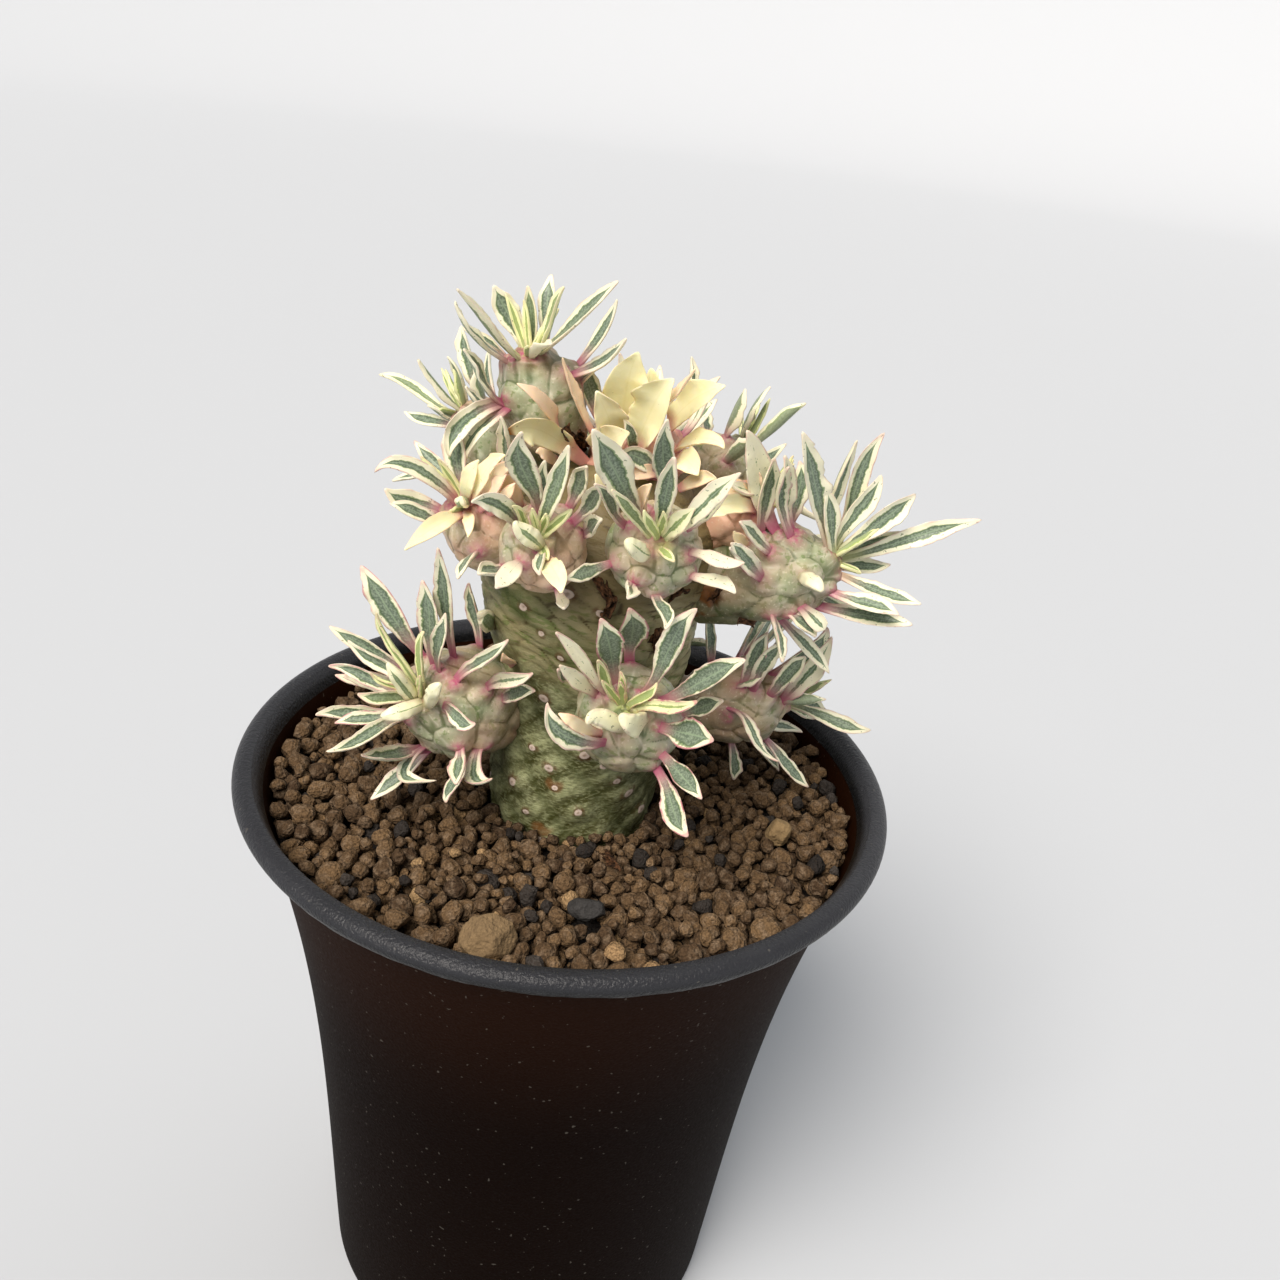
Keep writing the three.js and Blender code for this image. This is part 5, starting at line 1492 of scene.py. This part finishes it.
# Everything the blades of a head need, from its rows of clock, tier, out, along and width. The
# first rows, paleCount of them, have cream blades.
def leafPlan(head, axes, rows, paleCount, draw):
    clock, tier, out, reach, width = rows.T
    spring = 1 - (1 - tier) * (1 - 0.88 * ease(tier, 0.78, 0.92))
    skin = headPoint(axes, spring, clock, headRadius(head, spring))
    tip = headPoint(axes, reach / axes["length"], clock, out)
    line = unit(tip - skin)
    length = np.linalg.norm(tip - skin, axis=1)
    face = unit(headPoint(axes, tier, clock, 0 * tier) + axes["line"] * 8 - skin)
    front = np.array(camera["forward"]) * head.get("front", 0.8)
    face = face - front * ease(width, 2.0, 3.0)[:, None]
    face = unit(face - line * (face * line).sum(-1, keepdims=True))
    side = np.cross(face, line)
    count = len(rows)
    young = ease(tier, 0.91, 0.96) * ease(width, 2.8, 2.0)
    streaked = np.where(draw.uniform(size=count) < blade["streaked"], 0.35, 1.0)
    pale = np.where(np.arange(count) < paleCount, 0.0, streaked)
    form = np.clip(head["look"][3] + draw.uniform(-0.25, 0.25, size=count) - 0.5 * young, 0, 1)
    bow = draw.uniform(*blade["bow"], size=count) * (1 - 0.6 * young)
    sway = draw.uniform(-blade["sway"], blade["sway"], size=count)
    bend = (-face * bow[:, None] + side * sway[:, None]) * length[:, None]
    late = (-face * (bow * draw.uniform(-0.4, 1.5, size=count))[:, None]
            - side * (sway * draw.uniform(0.0, 1.5, size=count))[:, None]) * length[:, None]
    curl = draw.uniform(0.6, 1.6, size=count) * (1 - 0.4 * ease(width, 2.8, 4.2)) + 0.4 * young
    return {
        "root": skin - line * blade["rooted"],
        "tip": tip,
        "near": skin + (tip - skin) * 0.33 + bend * 1.33,
        "far": skin + (tip - skin) * 0.67 + late * 1.33,
        "face": face,
        "lean": line,
        "width": width * (1.02 + 0.1 * draw.uniform(size=count)),
        "curl": curl,
        "twist": draw.uniform(-blade["twist"], blade["twist"], size=count),
        "crest": np.interp(form, (0, 1), blade["crest"]) + draw.uniform(-0.06, 0.06, size=count),
        "rise": np.interp(form, (0, 1), blade["rise"]),
        "taper": draw.uniform(*blade["taper"], size=count),
        "acute": draw.uniform(0.1, 0.35, size=count),
        "ruffle": draw.uniform(0.3, 1.0, size=count),
        "thick": blade["thick"] * draw.uniform(0.85, 1.15, size=count),
        "seed": draw.uniform(0, 50, size=count),
        "green": head["look"][0] * draw.uniform(0.8, 1.15, size=count) * pale,
        "edge": head["look"][1] * draw.uniform(0.5, 1.4, size=count),
        "young": young,
        "rosy": 1 - 0.9 * ease(tier, 0.84, 0.94),
        "scorch": np.zeros(count),
        "cream": np.zeros(count, dtype=bool),
        "skin": skin,
    }


# The same for a head's bent leaves. The curve's handles are worked out so that it passes the
# second and third points at one and two thirds.
def bentPlan(rows, pink, draw):
    count = len(rows)
    finish = np.array([row[0] for row in rows], dtype=object)
    width, share, roll = np.array([row[1:4] for row in rows], float).reshape(-1, 3).T
    corners = np.array([row[4:] for row in rows], float).reshape(-1, 4, 3)
    first, second, third, last = corners.swapaxes(0, 1)
    line = unit(last - first)
    front = -np.array(camera["forward"])
    face = unit(front - line * (line @ front)[:, None])
    turn = np.radians(roll)[:, None]
    face = face * np.cos(turn) + np.cross(face, line) * np.sin(turn)
    plump = finish == "plump"
    return {
        "root": first - line * blade["rooted"],
        "tip": last,
        "near": (-5 * first + 18 * second - 9 * third + 2 * last) / 6,
        "far": (2 * first - 9 * second + 18 * third - 5 * last) / 6,
        "face": face,
        "lean": line,
        "width": width,
        "curl": np.where(plump, 0.7, draw.uniform(0.6, 1.3, size=count)),
        "twist": draw.uniform(-0.3, 0.3, size=count),
        "crest": np.where(plump, 1.0, draw.uniform(1.1, 1.3, size=count)),
        "rise": np.where(plump, 0.6, 1.0),
        "taper": np.where(plump, 0.45, 0.75),
        "acute": np.where(plump, 0.1, 0.3),
        "ruffle": np.where(plump, 0.8, 1.0),
        "thick": blade["thick"] * np.where(plump, 2.7, 1.0),
        "seed": draw.uniform(50, 90, size=count),
        "green": share - 0.12 * plump,
        "edge": pink * draw.uniform(0.5, 1.4, size=count) * (1 - 0.7 * plump),
        "young": np.where(plump, 0.3, 0.0),
        "rosy": np.where(plump, 0.2, 1.0),
        "scorch": (finish == "scorched").astype(float),
        "cream": (finish == "cream") | (finish == "scorched"),
        "skin": first,
    }


# Dried scraps of dead leaves: their width, degrees their face turns from the front, and four
# points their middle passes. The last lies in the grit.
dryBits = [
    (2.4, 0, (1.5, -16.5, 145.5), (2, -18, 145), (2.5, -18, 144.5), (3, -17.5, 143.5)),
    (2.2, 40, (3, -17, 143.5), (3, -18, 143.5), (3, -18.5, 142.5), (2.5, -18, 141.5)),
    (1.6, -30, (2.5, -16.5, 144.5), (3, -18, 145), (3.5, -19, 144.5), (4, -18.5, 143.5)),
    (1.8, 0, (11.5, -12.5, 134), (11, -15, 136), (10.5, -15.5, 137.5), (11, -15, 138.5)),
    (1.4, 60, (11, -13, 134.5), (10.5, -15, 136.5), (11, -15.5, 138), (11, -15.5, 139)),
    (1.6, 0, (-16.5, -1.5, 142), (-15, -7.5, 144), (-15.5, -9.5, 144), (-16.5, -9, 144)),
    (1.4, 40, (12.5, -13, 142.5), (13, -14.5, 144), (13.5, -14, 144.5), (14, -13.5, 143.5)),
    (2.6, 0, (-4, -2, 159.5), (-4, -4.5, 161), (-5, -6.5, 162.5), (-5.5, -8, 163.5)),
    (2.4, 50, (-3.5, -1, 159), (-3.5, -4, 161.5), (-4.5, -5.5, 162.5), (-5, -6, 164)),
    (2, -40, (-3, 0, 158.5), (-2.5, -3.5, 161), (-3, -5.5, 162.5), (-3, -7, 163.5)),
    (1.8, 0, (19, -8, 140), (18, -10, 142), (18.5, -11, 143.5), (19, -11.5, 144)),
    (1.5, 40, (24.5, -8, 138), (24, -10, 138.5), (22.5, -11.5, 139.5), (22, -12.5, 139)),
    (1.8, 0, (7.5, -18.5, 100.5), (7.5, -20.5, 102.5), (8.5, -23.5, 103.5), (9.5, -24.5, 103)),
]


# One shrivelled piece for all the scraps, made like bent leaves with a wild ruffle.
def makeDryBits():
    paint, tree, shader = newPaint("dry_leaf", 0.8, Specular_IOR_Level=0.2)
    body = blend(tree, patches(tree, 0.7, 4.0, 0.35, 0.65), "#20140a", "#60412a")
    dress(tree, shader, body, mottle(tree, 0.35, 4.0), 0.2, 0.9)
    rows = [("dry", row[0], 0.0, *row[1:]) for row in dryBits]
    leaves = bentPlan(rows, 0, np.random.default_rng(77))
    for title, factor in (("ruffle", 4), ("acute", 0), ("thick", 0.6), ("width", 0.9)):
        leaves[title] = leaves[title] * factor
    leaves["curl"] = leaves["curl"] + 1.2
    points, spread, _ = bladePoints(leaves)
    points += 0.35 * np.stack([smoothNoise(points / 0.8, seed) for seed in (61, 62, 63)], -1)
    addBlades("dry_bits", points, spread, paint, "stem", None)


# Every head: its shoot, then its variegated blades and its cream ones as one piece each.
def makeHeads():
    shootPaint = makeShootPaint()
    kinds = (
        ("_leaves", makeLeafPaint(), "leaf", False),
        ("_cream", makeCreamPaint(), "cream_leaf", True),
    )
    titles = ("green", "edge", "young", "rosy", "scorch")
    for number, (name, head) in enumerate(heads.items()):
        draw = np.random.default_rng(300 + number)
        axes = headAxes(head)
        plain = leafPlan(head, axes, *leafRows(head, axes), draw)
        bent = bentPlan(bentLeaves.get(name, []), head["look"][1], draw)
        leaves = {title: np.concatenate([plain[title], bent[title]]) for title in plain}
        makeShoot(name, head, axes, leaves, shootPaint, 50 + 7 * number)
        points, spread, under = bladePoints(leaves)
        for ending, paint, slot, isCream in kinds:
            chosen = leaves["cream"] == isCream
            if not chosen.any():
                continue
            fields = {title: np.repeat(leaves[title][chosen], points.shape[1]) for title in titles}
            fields["under"] = under[chosen]
            addBlades(name + ending, points[chosen], spread[chosen], paint, name, fields)
        print("head", name, "leaves", len(points))


makeCamera()
makeStudio()
print("camera, floor and light done")
makePot()
print("pot done")
makeGrit()
makeStones()
print("grit and stones done")
makeStem()
print("stem done")
makeHeads()
makeDryBits()
print("heads done")
